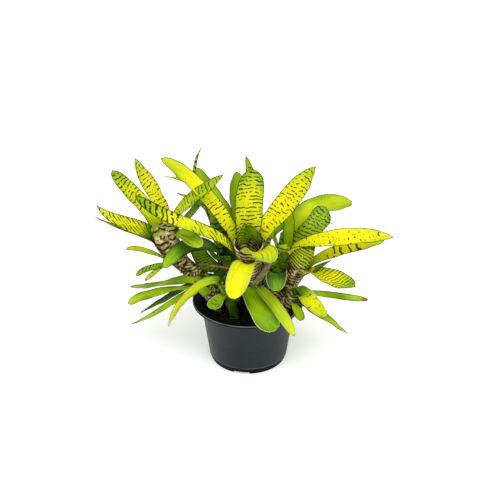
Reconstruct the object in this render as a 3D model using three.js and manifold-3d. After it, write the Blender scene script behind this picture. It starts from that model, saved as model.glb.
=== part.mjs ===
// A clump of banded neoregelia in a round nursery pot, in millimetres, +Z up.
// The origin is the centre of the pot's underside. The viewer's side is -Y.

import * as THREE from 'three';
import { mergeVertices } from 'three/addons/utils/BufferGeometryUtils.js';
import Module from 'manifold-3d';

const wasm = await Module();
wasm.setup();

// ---------------------------------------------------------------- driving dimensions

const POT = {
  rimRadius: 76,        // a 6 inch pot: 152 across the rim
  height: 90,
  wallTopRadius: 65.5,  // outside of the wall, just under the rim flange
  wallFootRadius: 54.5, // outside of the wall at its lower edge
  wall: 2,
  rimLipHeight: 4.5,    // the flange's turned-down edge
  footHeight: 5,        // the recessed ring that the pot stands on
  footRadius: 52.6,
  footRingWidth: 5,
  floorHeight: 6,       // top of the pot's floor
  padRadius: 13,        // the flat disc in the middle of the underside
  padRecess: 3,         // how far the underside between pad and foot ring is raised
  notches: 6,
  notchWidth: 22,
  notchHeight: 3.5,
  sides: 36,
};

const MIX = {
  surfaceHeight: 72,
  bumpHeight: 2.2,
  gap: 0.3,             // clearance to the pot and to the stems
  rings: 4,
  sides: 24,
};

const STEM_FOOT_HEIGHT = 52; // the stems end this high above the pot's underside, 20 down in the mix
const STEM_SIDES = 10;
const FUNNEL_WALL = 1.8;
const SHEATH_PROUD = 0.3;    // how far a leaf sheath stands out of the funnel it wraps
const BLADE_THICKNESS = { base: 1.9, tip: 1.1 };
const BLADE_CHANNEL = 0.32;  // half-angle of the open blade's trough, in radians
const SHEATH_WRAP = 1.3;     // most that half a sheath may wrap round its funnel, in radians

// A blade's outline: width at its base as a share of the widest, where it is widest as a share of the length,
// and how square the rounding of the tip is.
const LANCE = { base: 0.6, widest: 0.55, round: 2.2, fullness: 0.75 };
const OVAL = { base: 0.5, widest: 0.6, round: 2.8, fullness: 0.6 };
const STRAP = { base: 0.8, widest: 0.5, round: 4, fullness: 0.55 };
const SPOON = { base: 0.35, widest: 0.8, round: 2.4, fullness: 0.65 };
const TAPER = { base: 0.85, widest: 0.3, round: 1.6, fullness: 0.8 };

// Where a blade gets a cross-section, as a share of its length from the funnel to the tip.
const BLADE_STATIONS = [0, 0.17, 0.36, 0.55, 0.73, 0.88, 0.97];
// Where a cross-section has its corners, as a share of half the width.
const ACROSS = [-1, -0.42, 0.42, 1];

const COLOURS = {
  pot: 0x2f3438,
  mix: 0x2b1e15,
  yellowLeaf: 0xd9d926,
  greenLeaf: 0x7fa81f,
  darkLeaf: 0x3f6a1c,
};

// ---------------------------------------------------------------- the plant

// One leaf. toward: the way its tip points, in degrees from +X round to +Y. reach and lift: how far its tip is
// from the middle of the rosette's mouth, level and upwards. arch: how far the outer blade bows up over a
// straight line. shoulder: how far it follows the funnel's slope before it bends, as a share of its length.
// below: how far under the mouth it leaves the funnel. turn: how far round the funnel its base is from where
// the tip points. roll: how much the blade twists on its way out, in degrees. sway: how far it bows sideways.
function leaf(toward, reach, lift, width, options = {}) {
  const usual = { arch: 12, shoulder: 0.3, below: 8, turn: 0, roll: 0, sway: 0, form: LANCE };
  return { toward, reach, lift, width, ...usual, ...options };
}

// One rosette. foot: where its stem enters the mix. mouth: the middle of its open cup. lean: the way the cup
// faces, as an offset from straight up. stem, neck and cup: radii of its stem and its funnel's two ends.
const ROSETTES = [
  {
    name: 'mother_rosette',
    foot: [8, -2], mouth: [0.5, -22, 186], lean: [-0.05, -0.3],
    stem: 10.5, neck: 11, cup: 19.5, funnel: 66,
    colour: COLOURS.yellowLeaf,
    leaves: [
      leaf(80, 32, 84, 39, {
        form: STRAP, below: 13, arch: -4, shoulder: 0.32, turn: 11, roll: 22, sway: 5,
      }),
      leaf(15, 86, 90, 40, { below: 13, arch: -3, shoulder: 0.14, turn: 18, roll: -4, sway: 2 }),
      leaf(156, 122, 92, 26, { form: STRAP, below: 17, arch: 19, turn: -6, roll: 2, sway: -8 }),
      leaf(-173, 137, 67, 16, { form: STRAP, below: 30, arch: -15, shoulder: 0.37, turn: -7, roll: -45 }),
      leaf(-61, 42, -13, 38, { form: SPOON, below: 10, arch: 16, shoulder: 0.27, turn: -19, sway: 12 }),
      leaf(-108, 64, -51, 29, {
        form: OVAL, below: 34, arch: 39, shoulder: 0.28, turn: 16, roll: -18, sway: 3,
      }),
      leaf(-55, 65, -99, 34, {
        form: OVAL, below: 72, arch: 13, shoulder: 0.08, turn: -65, roll: -40, sway: -22,
      }),
      leaf(-51, 90, -98, 15, {
        form: STRAP, below: 74, arch: 21, shoulder: 0.12, turn: -25, roll: 9, sway: -2,
      }),
    ],
  },
  {
    name: 'upper_left_rosette',
    foot: [-45, 17], mouth: [-110, 0, 190], lean: [-0.14, 0.05],
    stem: 9.5, neck: 10, cup: 16, funnel: 62,
    colour: COLOURS.greenLeaf,
    leaves: [
      leaf(164, 65, 75, 25, {
        form: STRAP, below: -2, arch: 5, shoulder: 0.33, turn: -24, roll: 4, sway: 9,
      }),
      leaf(135, 51, 85, 26, { below: 0, arch: -2, shoulder: 0.37, turn: -60, roll: -15, sway: -3 }),
      leaf(-179, 83, 35, 25, { form: TAPER, below: 13, arch: -8, turn: -15, roll: -16, sway: 13 }),
      leaf(173, 90, 14, 10, {
        form: TAPER, below: 13, arch: 6, shoulder: 0.12, turn: 23, roll: -12, sway: 16,
      }),
      leaf(25, 84, 63, 25, { below: 1, arch: 7, shoulder: 0.26, turn: 8, roll: 8, sway: -5 }),
      leaf(5, 54, 43, 15, { form: STRAP, below: 6, arch: -1, shoulder: 0.07, turn: 3, roll: 19, sway: -2 }),
      leaf(-37, 63, -7, 21, { form: OVAL, arch: 7, shoulder: 0.21, turn: 12, roll: 16, sway: 4 }),
      leaf(-161, 50, -20, 9, {
        form: STRAP, below: 40, arch: 8, shoulder: 0.11, turn: -3, roll: -26, sway: -9,
      }),
      leaf(-150, 42, -56, 12, {
        form: STRAP, below: 45, arch: 7, shoulder: 0.07, turn: 7, roll: -23, sway: -4,
      }),
      leaf(-131, 36, -60, 8, {
        form: STRAP, below: 40, arch: -1, shoulder: 0.06, turn: -5, roll: -23, sway: -5,
      }),
    ],
  },
  {
    name: 'right_rosette',
    foot: [46, 9], mouth: [71.5, 9, 154.6], lean: [0.17, 0.08],
    stem: 9, neck: 10.5, cup: 17, funnel: 58,
    colour: COLOURS.yellowLeaf,
    leaves: [
      leaf(-4, 107, 20, 18, {
        form: STRAP, below: 25, arch: 9, shoulder: 0.28, turn: 14, roll: 26, sway: -2,
      }),
      leaf(40, 42, 52, 46, {
        form: STRAP, below: -6, arch: 6, shoulder: 0.25, turn: 42, roll: 46, sway: -2,
      }),
      leaf(-37, 82, -26, 34, {
        form: OVAL, below: 28, arch: -2, shoulder: 0.26, turn: -6, roll: 22, sway: 3,
      }),
      leaf(-24, 41, -5, 16, {
        form: TAPER, below: 30, arch: 0, shoulder: 0.06, turn: 12, roll: 9, sway: -4,
      }),
      leaf(138, 28, 8, 18, { arch: 8 }),
    ],
  },
  {
    name: 'inner_right_rosette',
    foot: [28, 7], mouth: [45.6, -1, 163.4], lean: [0.1, -0.05],
    stem: 6.5, neck: 7.5, cup: 9, funnel: 46,
    colour: COLOURS.yellowLeaf,
    leaves: [
      leaf(-8, 140, 26, 28, { arch: 17, shoulder: 0.17, turn: -8, roll: 26, sway: -5 }),
      leaf(55, 18, 45, 16, {
        form: STRAP, below: 12, arch: -12, shoulder: 0.22, turn: -30, roll: 37, sway: 4,
      }),
      leaf(165, 22, 34, 16, { below: 4, arch: 6 }),
    ],
  },
  {
    name: 'lower_right_rosette',
    foot: [45, -21], mouth: [62, -22, 112], lean: [0.3, -0.2],
    stem: 6.5, neck: 7, cup: 10.5, funnel: 30,
    colour: COLOURS.greenLeaf,
    leaves: [
      leaf(-28, 45, -18, 27, {
        form: STRAP, below: 3, arch: 5, shoulder: 0.21, turn: 22, roll: 11, sway: -25,
      }),
      leaf(-38, 81, -33, 18, {
        form: TAPER, below: 17, arch: 10, shoulder: 0.14, turn: 10, roll: 6, sway: -8,
      }),
      leaf(-86, 51, -14, 14, { form: STRAP, below: 15, arch: -2, shoulder: 0.11, roll: 21, sway: 5 }),
      leaf(1, 98, -15, 10, {
        form: STRAP, below: 2, arch: 2, shoulder: 0.08, turn: -4, roll: 23, sway: -3,
      }),
    ],
  },
  {
    name: 'front_right_pup',
    foot: [30, -12], mouth: [39, -29, 150], lean: [0.05, -0.35],
    stem: 5.5, neck: 6, cup: 12, funnel: 34,
    colour: COLOURS.greenLeaf,
    leaves: [
      leaf(-94, 47, -8, 26, { form: OVAL, below: 7, arch: 26, shoulder: 0.4, turn: -2, roll: 9, sway: -3 }),
      leaf(60, 20, 14, 14, { form: OVAL, below: 3, arch: 4 }),
    ],
  },
  {
    name: 'front_left_pup',
    foot: [-19, -27], mouth: [-32, -34, 134], lean: [-0.2, -0.2],
    stem: 5.5, neck: 6, cup: 8, funnel: 36,
    colour: COLOURS.greenLeaf,
    leaves: [
      leaf(-161, 75, -53, 20, {
        form: STRAP, below: 6, arch: 34, shoulder: 0.17, turn: -20, roll: -5, sway: -3,
      }),
      leaf(-112, 33, -25, 18, {
        form: OVAL, below: 23, arch: -3, shoulder: 0.18, turn: -12, roll: -20, sway: -9,
      }),
      leaf(-74, 36, -18, 13, { form: STRAP, below: 28, arch: 2, shoulder: 0.15 }),
    ],
  },
  {
    name: 'lower_left_rosette',
    foot: [-43, -6], mouth: [-57, -13, 114], lean: [-0.5, -0.1],
    stem: 6.5, neck: 7, cup: 10.5, funnel: 30,
    colour: COLOURS.greenLeaf,
    leaves: [
      leaf(-172, 103, -18, 22, { form: STRAP, below: -2, arch: 13, shoulder: 0.09, turn: 48, roll: -15 }),
      leaf(169, 105, -11, 19, {
        form: STRAP, below: -4, arch: 3, shoulder: 0.18, turn: -26, roll: 22, sway: 23,
      }),
      leaf(-170, 88, -32, 16, {
        form: TAPER, below: -6, arch: -2, shoulder: 0.11, turn: -2, roll: -4, sway: -5,
      }),
      leaf(-159, 102, -36, 11, {
        form: TAPER, below: -1, arch: -3, shoulder: 0.1, turn: -9, roll: -19, sway: 8,
      }),
    ],
  },
  {
    name: 'shaded_left_rosette',
    foot: [-21, 12], mouth: [-24, 15, 150], lean: [-0.25, -0.1],
    stem: 8, neck: 9, cup: 14, funnel: 52,
    colour: COLOURS.darkLeaf,
    leaves: [
      leaf(-151, 96, 1, 22, { form: STRAP, below: 10, arch: 42, shoulder: 0.45, turn: -10, roll: -34 }),
      leaf(-192, 51, 13, 23, {
        form: STRAP, below: 30, arch: -25, shoulder: 0.06, turn: 9, roll: -47, sway: 16,
      }),
      leaf(-168, 35, 15, 10, {
        form: TAPER, below: 16, arch: -6, shoulder: 0.11, turn: -1, roll: -33, sway: -4,
      }),
      leaf(-112, 28, 4, 18, { form: OVAL, shoulder: 0.2 }),
    ],
  },
  {
    name: 'back_left_rosette',
    foot: [-30, 35], mouth: [-40, 52, 176], lean: [-0.1, 0.05],
    stem: 7, neck: 8, cup: 12, funnel: 52,
    colour: COLOURS.greenLeaf,
    leaves: [
      leaf(130, 37, 99, 10, { form: TAPER, below: 2, arch: 0, shoulder: 0.25, turn: 40, sway: 38 }),
      leaf(146, 96, 49, 14, {
        form: TAPER, below: -6, arch: 28, shoulder: 0.59, turn: 4, roll: 7, sway: 20,
      }),
      leaf(-176, 56, 47, 11, {
        form: TAPER, below: -5, arch: 3, shoulder: 0.43, turn: -29, roll: -1, sway: -6,
      }),
      leaf(110, 80, 20, 24, { below: 10, arch: 22 }),
    ],
  },
  {
    name: 'back_rosette',
    foot: [-4, 38], mouth: [-8, 56, 174], lean: [0, 0.1],
    stem: 7, neck: 8, cup: 13, funnel: 52,
    colour: COLOURS.greenLeaf,
    leaves: [
      leaf(126, 14, 72, 24, { form: STRAP, below: -6, arch: 1, shoulder: 0.32, turn: 18, roll: -13 }),
      leaf(61, 10, 95, 16, { below: -6, arch: -4, shoulder: 0.32, turn: -11, roll: 8, sway: -15 }),
      leaf(177, 63, 80, 23, {
        form: STRAP, below: 7, arch: -4, shoulder: 0.21, turn: -16, roll: -15, sway: -4,
      }),
      leaf(95, 84, 30, 24, { below: 10, arch: 22 }),
    ],
  },
  {
    name: 'back_right_rosette',
    foot: [36, 34], mouth: [56, 46, 162], lean: [0.2, 0.1],
    stem: 7, neck: 8, cup: 12, funnel: 50,
    colour: COLOURS.greenLeaf,
    leaves: [
      leaf(19, 93, 37, 41, {
        form: STRAP, below: -6, arch: 11, shoulder: 0.49, turn: 5, roll: 12, sway: 1,
      }),
      leaf(82, 80, 16, 24, { below: 10, arch: 22 }),
      leaf(38, 84, -6, 20, { form: STRAP, below: 16, arch: 22 }),
    ],
  },
  {
    name: 'rear_rosette',
    foot: [16, 46], mouth: [20, 74, 140], lean: [0.1, 0.4],
    stem: 6.5, neck: 7, cup: 12, funnel: 36,
    colour: COLOURS.darkLeaf,
    leaves: [
      leaf(90, 70, 10, 22, { below: 6, arch: 18 }),
      leaf(54, 74, 15, 15, {
        form: STRAP, below: 3, arch: 5, shoulder: 0.22, turn: -12, roll: 12, sway: -15,
      }),
      leaf(140, 76, -6, 20, { form: STRAP, arch: 20 }),
    ],
  },
];

// The dry stalk of an old flower, at the left of the mother rosette.
const STALK = {
  rosette: 'mother_rosette',
  points: [[2, -12, 132], [-20, -12, 140], [-42, -10, 143], [-66, -8, 144]],
  baseRadius: 2.2,
  tipRadius: 1,
  sides: 6,
  steps: 6,
};

// ---------------------------------------------------------------- closed skins and solids

// A closed geometry from rings of equally many corners. The two ends are filled by the given triangles
// between the ring's own corners.
function ringSkin(rings, { startCap, endCap, flipFrom = Infinity }) {
  const sides = rings[0].length;
  const positions = rings.flat().flatMap((p) => [p.x, p.y, p.z]);
  const indices = [];
  for (let k = 0; k + 1 < rings.length; k++) {
    for (let i = 0; i < sides; i++) {
      const a = k * sides + i;
      const b = k * sides + (i + 1) % sides;
      const c = a + sides;
      const d = b + sides;
      if (i < flipFrom) indices.push(a, b, d, a, d, c);
      else indices.push(a, b, c, b, d, c);
    }
  }
  const last = (rings.length - 1) * sides;
  for (const [a, b, c] of startCap) indices.push(a, c, b);
  for (const [a, b, c] of endCap) indices.push(last + a, last + b, last + c);
  const geometry = new THREE.BufferGeometry();
  geometry.setAttribute('position', new THREE.Float32BufferAttribute(positions, 3));
  geometry.setIndex(indices);
  return geometry;
}

function fanCap(sides) {
  return Array.from({ length: sides - 2 }, (_, i) => [0, i + 1, i + 2]);
}

function toSolid(geometry) {
  const bare = geometry.clone();
  bare.deleteAttribute('normal');
  bare.deleteAttribute('uv');
  const merged = mergeVertices(bare, 1e-4);
  const mesh = new wasm.Mesh({
    numProp: 3,
    vertProperties: Float32Array.from(merged.getAttribute('position').array),
    triVerts: Uint32Array.from(merged.getIndex().array),
  });
  const solid = new wasm.Manifold(mesh);
  return solid.volume() < 0 ? toSolid(flipped(merged)) : solid;
}

function flipped(geometry) {
  const index = geometry.getIndex();
  for (let i = 0; i < index.count; i += 3) {
    const second = index.getX(i + 1);
    index.setX(i + 1, index.getX(i + 2));
    index.setX(i + 2, second);
  }
  return geometry;
}

function toGeometry(solid) {
  const mesh = solid.getMesh();
  const geometry = new THREE.BufferGeometry();
  geometry.setAttribute('position', new THREE.Float32BufferAttribute(mesh.vertProperties, 3));
  geometry.setIndex(Array.from(mesh.triVerts));
  return geometry;
}

// The largest piece of a solid: loose scraps and sealed hollows are left behind.
function mainBody(solid) {
  const pieces = solid.decompose().sort((a, b) => b.volume() - a.volume());
  return pieces[0];
}

const smoothstep = (x) => {
  const t = Math.min(Math.max(x, 0), 1);
  return t * t * (3 - 2 * t);
};

// ---------------------------------------------------------------- stems and funnels

// The middle line of a stem and its funnel: up out of the mix, then over to face the way the cup leans.
function stemLine(rosette) {
  const foot = new THREE.Vector3(...rosette.foot, MIX.surfaceHeight);
  const mouth = new THREE.Vector3(...rosette.mouth);
  const facing = new THREE.Vector3(...rosette.lean, 1).normalize();
  const span = foot.distanceTo(mouth);
  const line = new THREE.CubicBezierCurve3(
    foot,
    foot.clone().add(new THREE.Vector3(0, 0, span * 0.3)),
    mouth.clone().addScaledVector(facing, -span * 0.4),
    mouth,
  );
  const length = line.getLength();
  return {
    length,
    at(belowMouth) {
      const share = Math.min(Math.max(1 - belowMouth / length, 0), 1);
      const axis = line.getTangentAt(share);
      const above = Math.max(-belowMouth, 0);
      return { point: line.getPointAt(share).addScaledVector(axis, above), axis };
    },
  };
}

function funnelRadius(rosette, belowMouth) {
  const share = smoothstep(1 - belowMouth / rosette.funnel);
  return rosette.neck + (rosette.cup - rosette.neck) * share;
}

function stemRing(centre, axis, radius) {
  const side = new THREE.Vector3(1, 0, 0).addScaledVector(axis, -axis.x).normalize();
  const other = axis.clone().cross(side);
  return Array.from({ length: STEM_SIDES }, (_, i) => {
    const angle = (2 * Math.PI * i) / STEM_SIDES;
    return centre.clone()
      .addScaledVector(side, radius * Math.cos(angle))
      .addScaledVector(other, radius * Math.sin(angle));
  });
}

// A stem with its funnel, and the open cup down in the funnel.
function stemSolid(rosette, line) {
  const up = new THREE.Vector3(0, 0, 1);
  const [x, y] = rosette.foot;
  const rings = [
    stemRing(new THREE.Vector3(x, y, STEM_FOOT_HEIGHT), up, rosette.stem * 0.8),
    stemRing(new THREE.Vector3(x, y, MIX.surfaceHeight), up, rosette.stem),
  ];
  const neckAt = Math.min(rosette.funnel, line.length - 6);
  const outside = [(line.length + neckAt) / 2, neckAt, neckAt * 0.66, neckAt * 0.33, 0];
  for (const below of outside) {
    const { point, axis } = line.at(below);
    rings.push(stemRing(point, axis, funnelRadius(rosette, below)));
  }
  for (const share of [0, 0.25, 0.5]) {
    const { point, axis } = line.at(neckAt * share);
    const narrowing = share === 0.5 ? 0.6 : 1;
    rings.push(stemRing(point, axis, (funnelRadius(rosette, neckAt * share) - FUNNEL_WALL) * narrowing));
  }
  const cap = fanCap(STEM_SIDES);
  return toSolid(ringSkin(rings, { startCap: cap, endCap: cap }));
}

// ---------------------------------------------------------------- leaves

function bladeWidth(spec, along) {
  const { base, widest, round, fullness } = spec.form;
  if (along < widest) {
    return spec.width * (base + (1 - base) * Math.sin((Math.PI / 2) * (along / widest)));
  }
  const out = (along - widest) / (1 - widest);
  return spec.width * (1 - out ** round) ** fullness;
}

// The blade's middle line: up along the funnel's wall, then out to the tip.
function bladeLine(rosette, spec, root, wallUp) {
  const toward = THREE.MathUtils.degToRad(spec.toward);
  const tip = new THREE.Vector3(...rosette.mouth).add(
    new THREE.Vector3(spec.reach * Math.cos(toward), spec.reach * Math.sin(toward), spec.lift),
  );
  const span = root.distanceTo(tip);
  const shoulder = root.clone().addScaledVector(wallUp, span * spec.shoulder);
  const sideways = new THREE.Vector3(-Math.sin(toward), Math.cos(toward), 0);
  const elbow = root.clone().lerp(tip, 0.65).addScaledVector(sideways, spec.sway);
  elbow.z += spec.arch;
  return new THREE.CubicBezierCurve3(root, shoulder, elbow, tip);
}

// One cross-section: a shallow arc with its edges raised towards the leaf's upper side.
function bladeRing(centre, across, upper, width, halfAngle, thickness) {
  const bend = width / (2 * halfAngle);
  const at = (share, side) => {
    const angle = share * halfAngle;
    const normal = upper.clone().multiplyScalar(Math.cos(angle)).addScaledVector(across, -Math.sin(angle));
    return centre.clone()
      .addScaledVector(across, bend * Math.sin(angle))
      .addScaledVector(upper, bend * (1 - Math.cos(angle)))
      .addScaledVector(normal, side * thickness / 2);
  };
  const [left, innerLeft, innerRight, right] = ACROSS;
  return [
    at(left, 0), at(innerLeft, 1), at(innerRight, 1), at(right, 0), at(innerRight, -1), at(innerLeft, -1),
  ];
}

function leafSolid(rosette, line, spec) {
  const heading = THREE.MathUtils.degToRad(spec.toward + spec.turn);
  const level = new THREE.Vector3(Math.cos(heading), Math.sin(heading), 0);
  const wallPoint = (below) => {
    const { point, axis } = line.at(below);
    const outward = level.clone().addScaledVector(axis, -level.dot(axis)).normalize();
    return { point: point.addScaledVector(outward, funnelRadius(rosette, below) + SHEATH_PROUD), axis, outward };
  };
  const sheathLength = Math.min(rosette.funnel * 0.35, line.length - spec.below - 4);
  const low = wallPoint(spec.below + sheathLength);
  const root = wallPoint(spec.below);
  const wallUp = root.point.clone().sub(wallPoint(spec.below + 3).point).normalize();
  const side = root.axis.clone().cross(root.outward);
  const wrap = (below) => Math.min(SHEATH_WRAP, (spec.width * 0.5) / funnelRadius(rosette, below));
  const midline = bladeLine(rosette, spec, root.point, wallUp);

  const ringAt = (point, direction, width, halfAngle, thickness, roll) => {
    const across = side.clone().addScaledVector(direction, -side.dot(direction)).normalize();
    across.applyAxisAngle(direction, THREE.MathUtils.degToRad(roll));
    const upper = direction.clone().cross(across);
    return bladeRing(point, across, upper, width, halfAngle, thickness);
  };
  const lowWrap = wrap(spec.below + sheathLength);
  const rings = [ringAt(low.point, wallUp, spec.width * 0.9, lowWrap, BLADE_THICKNESS.base * 0.6, 0)];
  for (const along of BLADE_STATIONS) {
    const opening = smoothstep(along / 0.45);
    const halfAngle = THREE.MathUtils.lerp(wrap(spec.below), BLADE_CHANNEL, opening);
    const thickness = THREE.MathUtils.lerp(BLADE_THICKNESS.base, BLADE_THICKNESS.tip, along);
    rings.push(ringAt(
      midline.getPointAt(along), midline.getTangentAt(along), bladeWidth(spec, along), halfAngle, thickness,
      spec.roll * smoothstep(along / 0.5),
    ));
  }
  const startCap = [[0, 1, 5], [1, 2, 4], [1, 4, 5], [2, 3, 4]];
  return toSolid(ringSkin(rings, { startCap, endCap: startCap, flipFrom: 3 }));
}

function stalkSolid() {
  const curve = new THREE.CatmullRomCurve3(STALK.points.map((p) => new THREE.Vector3(...p)));
  const rings = [];
  for (let k = 0; k <= STALK.steps; k++) {
    const share = k / STALK.steps;
    const radius = THREE.MathUtils.lerp(STALK.baseRadius, STALK.tipRadius, share);
    const direction = curve.getTangentAt(share);
    const side = new THREE.Vector3(0, 0, 1).addScaledVector(direction, -direction.z).normalize();
    const other = direction.clone().cross(side);
    rings.push(Array.from({ length: STALK.sides }, (_, i) => {
      const angle = (2 * Math.PI * i) / STALK.sides;
      return curve.getPointAt(share)
        .addScaledVector(side, radius * Math.cos(angle))
        .addScaledVector(other, radius * Math.sin(angle));
    }));
  }
  const cap = fanCap(STALK.sides);
  return toSolid(ringSkin(rings, { startCap: cap, endCap: cap }));
}

function rosetteSolid(rosette) {
  const line = stemLine(rosette);
  const parts = [stemSolid(rosette, line), ...rosette.leaves.map((spec) => leafSolid(rosette, line, spec))];
  if (rosette.name === STALK.rosette) parts.push(stalkSolid());
  return mainBody(wasm.Manifold.union(parts));
}

// ---------------------------------------------------------------- pot and potting mix

function wallRadiusAt(height) {
  const share = (height - POT.footHeight) / (POT.height - POT.footHeight);
  return POT.wallFootRadius + (POT.wallTopRadius - POT.wallFootRadius) * share;
}

function potSolid() {
  const { height, wall, rimRadius, rimLipHeight, footHeight, footRadius, footRingWidth } = POT;
  const profile = [
    [0, 0],
    [POT.padRadius, 0],
    [POT.padRadius + 2, POT.padRecess],
    [footRadius - footRingWidth, POT.padRecess],
    [footRadius - footRingWidth + 0.5, 0],
    [footRadius, 0],
    [footRadius, footHeight],
    [POT.wallFootRadius, footHeight],
    [wallRadiusAt(height - 3), height - 3],
    [rimRadius - 2, height - 3],
    [rimRadius - 2, height - rimLipHeight],
    [rimRadius, height - rimLipHeight],
    [rimRadius, height - 0.8],
    [rimRadius - 1, height],
    [wallRadiusAt(height) + 2, height],
    [wallRadiusAt(height) - wall + 1, height - 1.5],
    [wallRadiusAt(height - 4) - wall, height - 5],
    [wallRadiusAt(POT.floorHeight) - wall, POT.floorHeight + 3],
    [wallRadiusAt(POT.floorHeight) - wall - 3, POT.floorHeight],
    [0, POT.floorHeight],
  ];
  let solid = toSolid(new THREE.LatheGeometry(profile.map(([r, z]) => new THREE.Vector2(r, z)), POT.sides)
    .rotateX(Math.PI / 2));
  for (let i = 0; i < POT.notches; i++) {
    const notch = new THREE.BoxGeometry(POT.notchWidth, footRingWidth * 3, POT.notchHeight * 2)
      .translate(0, -footRadius, 0)
      .rotateZ(THREE.MathUtils.degToRad(-8 + (360 / POT.notches) * i));
    solid = solid.subtract(toSolid(notch));
  }
  return mainBody(solid);
}

function mixSolid() {
  const surface = (radius, angle) => MIX.surfaceHeight
    + MIX.bumpHeight * 0.5 * (Math.sin(radius * 0.19 + angle * 3) + Math.cos(radius * 0.11 - angle * 5));
  const floor = POT.floorHeight + MIX.gap;
  const radiusAt = (height) => wallRadiusAt(height) - POT.wall - MIX.gap;
  const circle = (radius, heightAt) => Array.from({ length: MIX.sides }, (_, i) => {
    const angle = (2 * Math.PI * i) / MIX.sides;
    return new THREE.Vector3(radius * Math.cos(angle), radius * Math.sin(angle), heightAt(angle));
  });
  const top = radiusAt(MIX.surfaceHeight - 3);
  const rings = [
    circle(radiusAt(POT.floorHeight) - 4, () => floor),
    circle(radiusAt(POT.floorHeight), () => floor + 4),
    circle(top, () => MIX.surfaceHeight - 3),
  ];
  for (let k = 1; k <= MIX.rings; k++) {
    const radius = (top - 1) * (1 - (k - 1) / MIX.rings);
    rings.push(circle(radius, (angle) => surface(radius, angle)));
  }
  const cap = fanCap(MIX.sides);
  let solid = toSolid(ringSkin(rings, { startCap: cap, endCap: cap }));
  for (const rosette of ROSETTES) {
    const [x, y] = rosette.foot;
    const depth = MIX.surfaceHeight + 12 - STEM_FOOT_HEIGHT;
    const hole = new THREE.CylinderGeometry(rosette.stem + 1, rosette.stem + 1, depth, STEM_SIDES)
      .rotateX(Math.PI / 2)
      .translate(x, y, STEM_FOOT_HEIGHT - MIX.gap + depth / 2);
    solid = solid.subtract(toSolid(hole));
  }
  return mainBody(solid);
}

// ---------------------------------------------------------------- the scene graph

function piece(name, solid, colour, roughness) {
  const material = new THREE.MeshStandardMaterial({ color: colour, roughness, metalness: 0 });
  const mesh = new THREE.Mesh(toGeometry(solid), material);
  mesh.name = name;
  return mesh;
}

const plant = new THREE.Group();
for (const rosette of ROSETTES) {
  plant.add(piece(rosette.name, rosetteSolid(rosette), rosette.colour, 0.45));
}

const object = new THREE.Group();
object.add(piece('pot', potSolid(), COLOURS.pot, 0.4));
object.add(piece('potting_mix', mixSolid(), COLOURS.mix, 0.95));
object.add(plant);

export default object;
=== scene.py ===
"""A clump of banded neoregelia rooted in bark mix in a round nursery pot.

Sizes are in millimetres in the classes and are turned into metres where a mesh is made. The frame is the
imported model's: +Z up, the viewer's side is -Y, the origin is the middle of the pot's underside.
"""

import logging
import math
import random
from collections.abc import Callable, Iterable, Sequence
from dataclasses import dataclass, field
from enum import Enum

import bpy
from mathutils import Matrix, Vector


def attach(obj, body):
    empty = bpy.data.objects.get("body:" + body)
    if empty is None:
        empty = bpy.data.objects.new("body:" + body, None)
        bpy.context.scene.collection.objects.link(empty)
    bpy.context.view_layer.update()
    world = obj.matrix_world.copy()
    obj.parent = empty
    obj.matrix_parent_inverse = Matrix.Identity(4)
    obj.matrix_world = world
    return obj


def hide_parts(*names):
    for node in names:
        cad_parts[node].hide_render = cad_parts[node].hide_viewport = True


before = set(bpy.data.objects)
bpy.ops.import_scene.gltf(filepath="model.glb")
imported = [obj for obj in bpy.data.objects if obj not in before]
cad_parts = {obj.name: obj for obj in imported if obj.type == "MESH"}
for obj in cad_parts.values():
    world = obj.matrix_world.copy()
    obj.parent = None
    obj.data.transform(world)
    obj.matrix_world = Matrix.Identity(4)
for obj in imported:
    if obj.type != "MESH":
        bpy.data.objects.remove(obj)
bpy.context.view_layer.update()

LOG = logging.getLogger("bromeliad")
MM = 0.001
BODY = "root"
UP = Vector((0.0, 0.0, 1.0))
NONE = (0.0, 0.0, 0.0)
WELD = 0.02  # mm
Triple = tuple[float, float, float]
Piece = bpy.types.Object
Material = bpy.types.Material


# ---------------------------------------------------------------- small helpers


def smoothstep(x: float) -> float:
    """A smooth rise from 0 to 1 as x goes from 0 to 1."""
    t = min(max(x, 0.0), 1.0)
    return t * t * (3.0 - 2.0 * t)


def lerp(a: float, b: float, t: float) -> float:
    """The value a share t of the way from a to b."""
    return a + (b - a) * t


def level(degrees: float) -> Vector:
    """The level direction at an angle from +X round to +Y."""
    return Vector((math.cos(math.radians(degrees)), math.sin(math.radians(degrees)), 0.0))


def colour(code: str) -> tuple[float, float, float, float]:
    """Turn a hexadecimal display colour into linear light.

    Args:
        code: six hexadecimal digits, red first.

    Returns:
        Red, green, blue and an alpha of one.
    """
    channels = [int(code[i : i + 2], 16) / 255 for i in (0, 2, 4)]
    linear = [c / 12.92 if c <= 0.04045 else ((c + 0.055) / 1.055) ** 2.4 for c in channels]
    return (linear[0], linear[1], linear[2], 1.0)


def select_only(*pieces: Piece) -> None:
    """Select these objects and nothing else, and make the first one active.

    Args:
        pieces: the objects to select.
    """
    bpy.ops.object.select_all(action="DESELECT")
    for piece in pieces:
        piece.select_set(True)
    bpy.context.view_layer.objects.active = pieces[0]


def apply_modifier(piece: Piece, kind: str, **settings: object) -> None:
    """Add a modifier with these settings and apply it.

    Args:
        piece: the object to change.
        kind: the modifier's type.
        settings: its properties.
    """
    select_only(piece)
    modifier = piece.modifiers.new(kind.lower(), kind)
    for name, value in settings.items():
        setattr(modifier, name, value)
    bpy.ops.object.modifier_apply(modifier=modifier.name)


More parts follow.
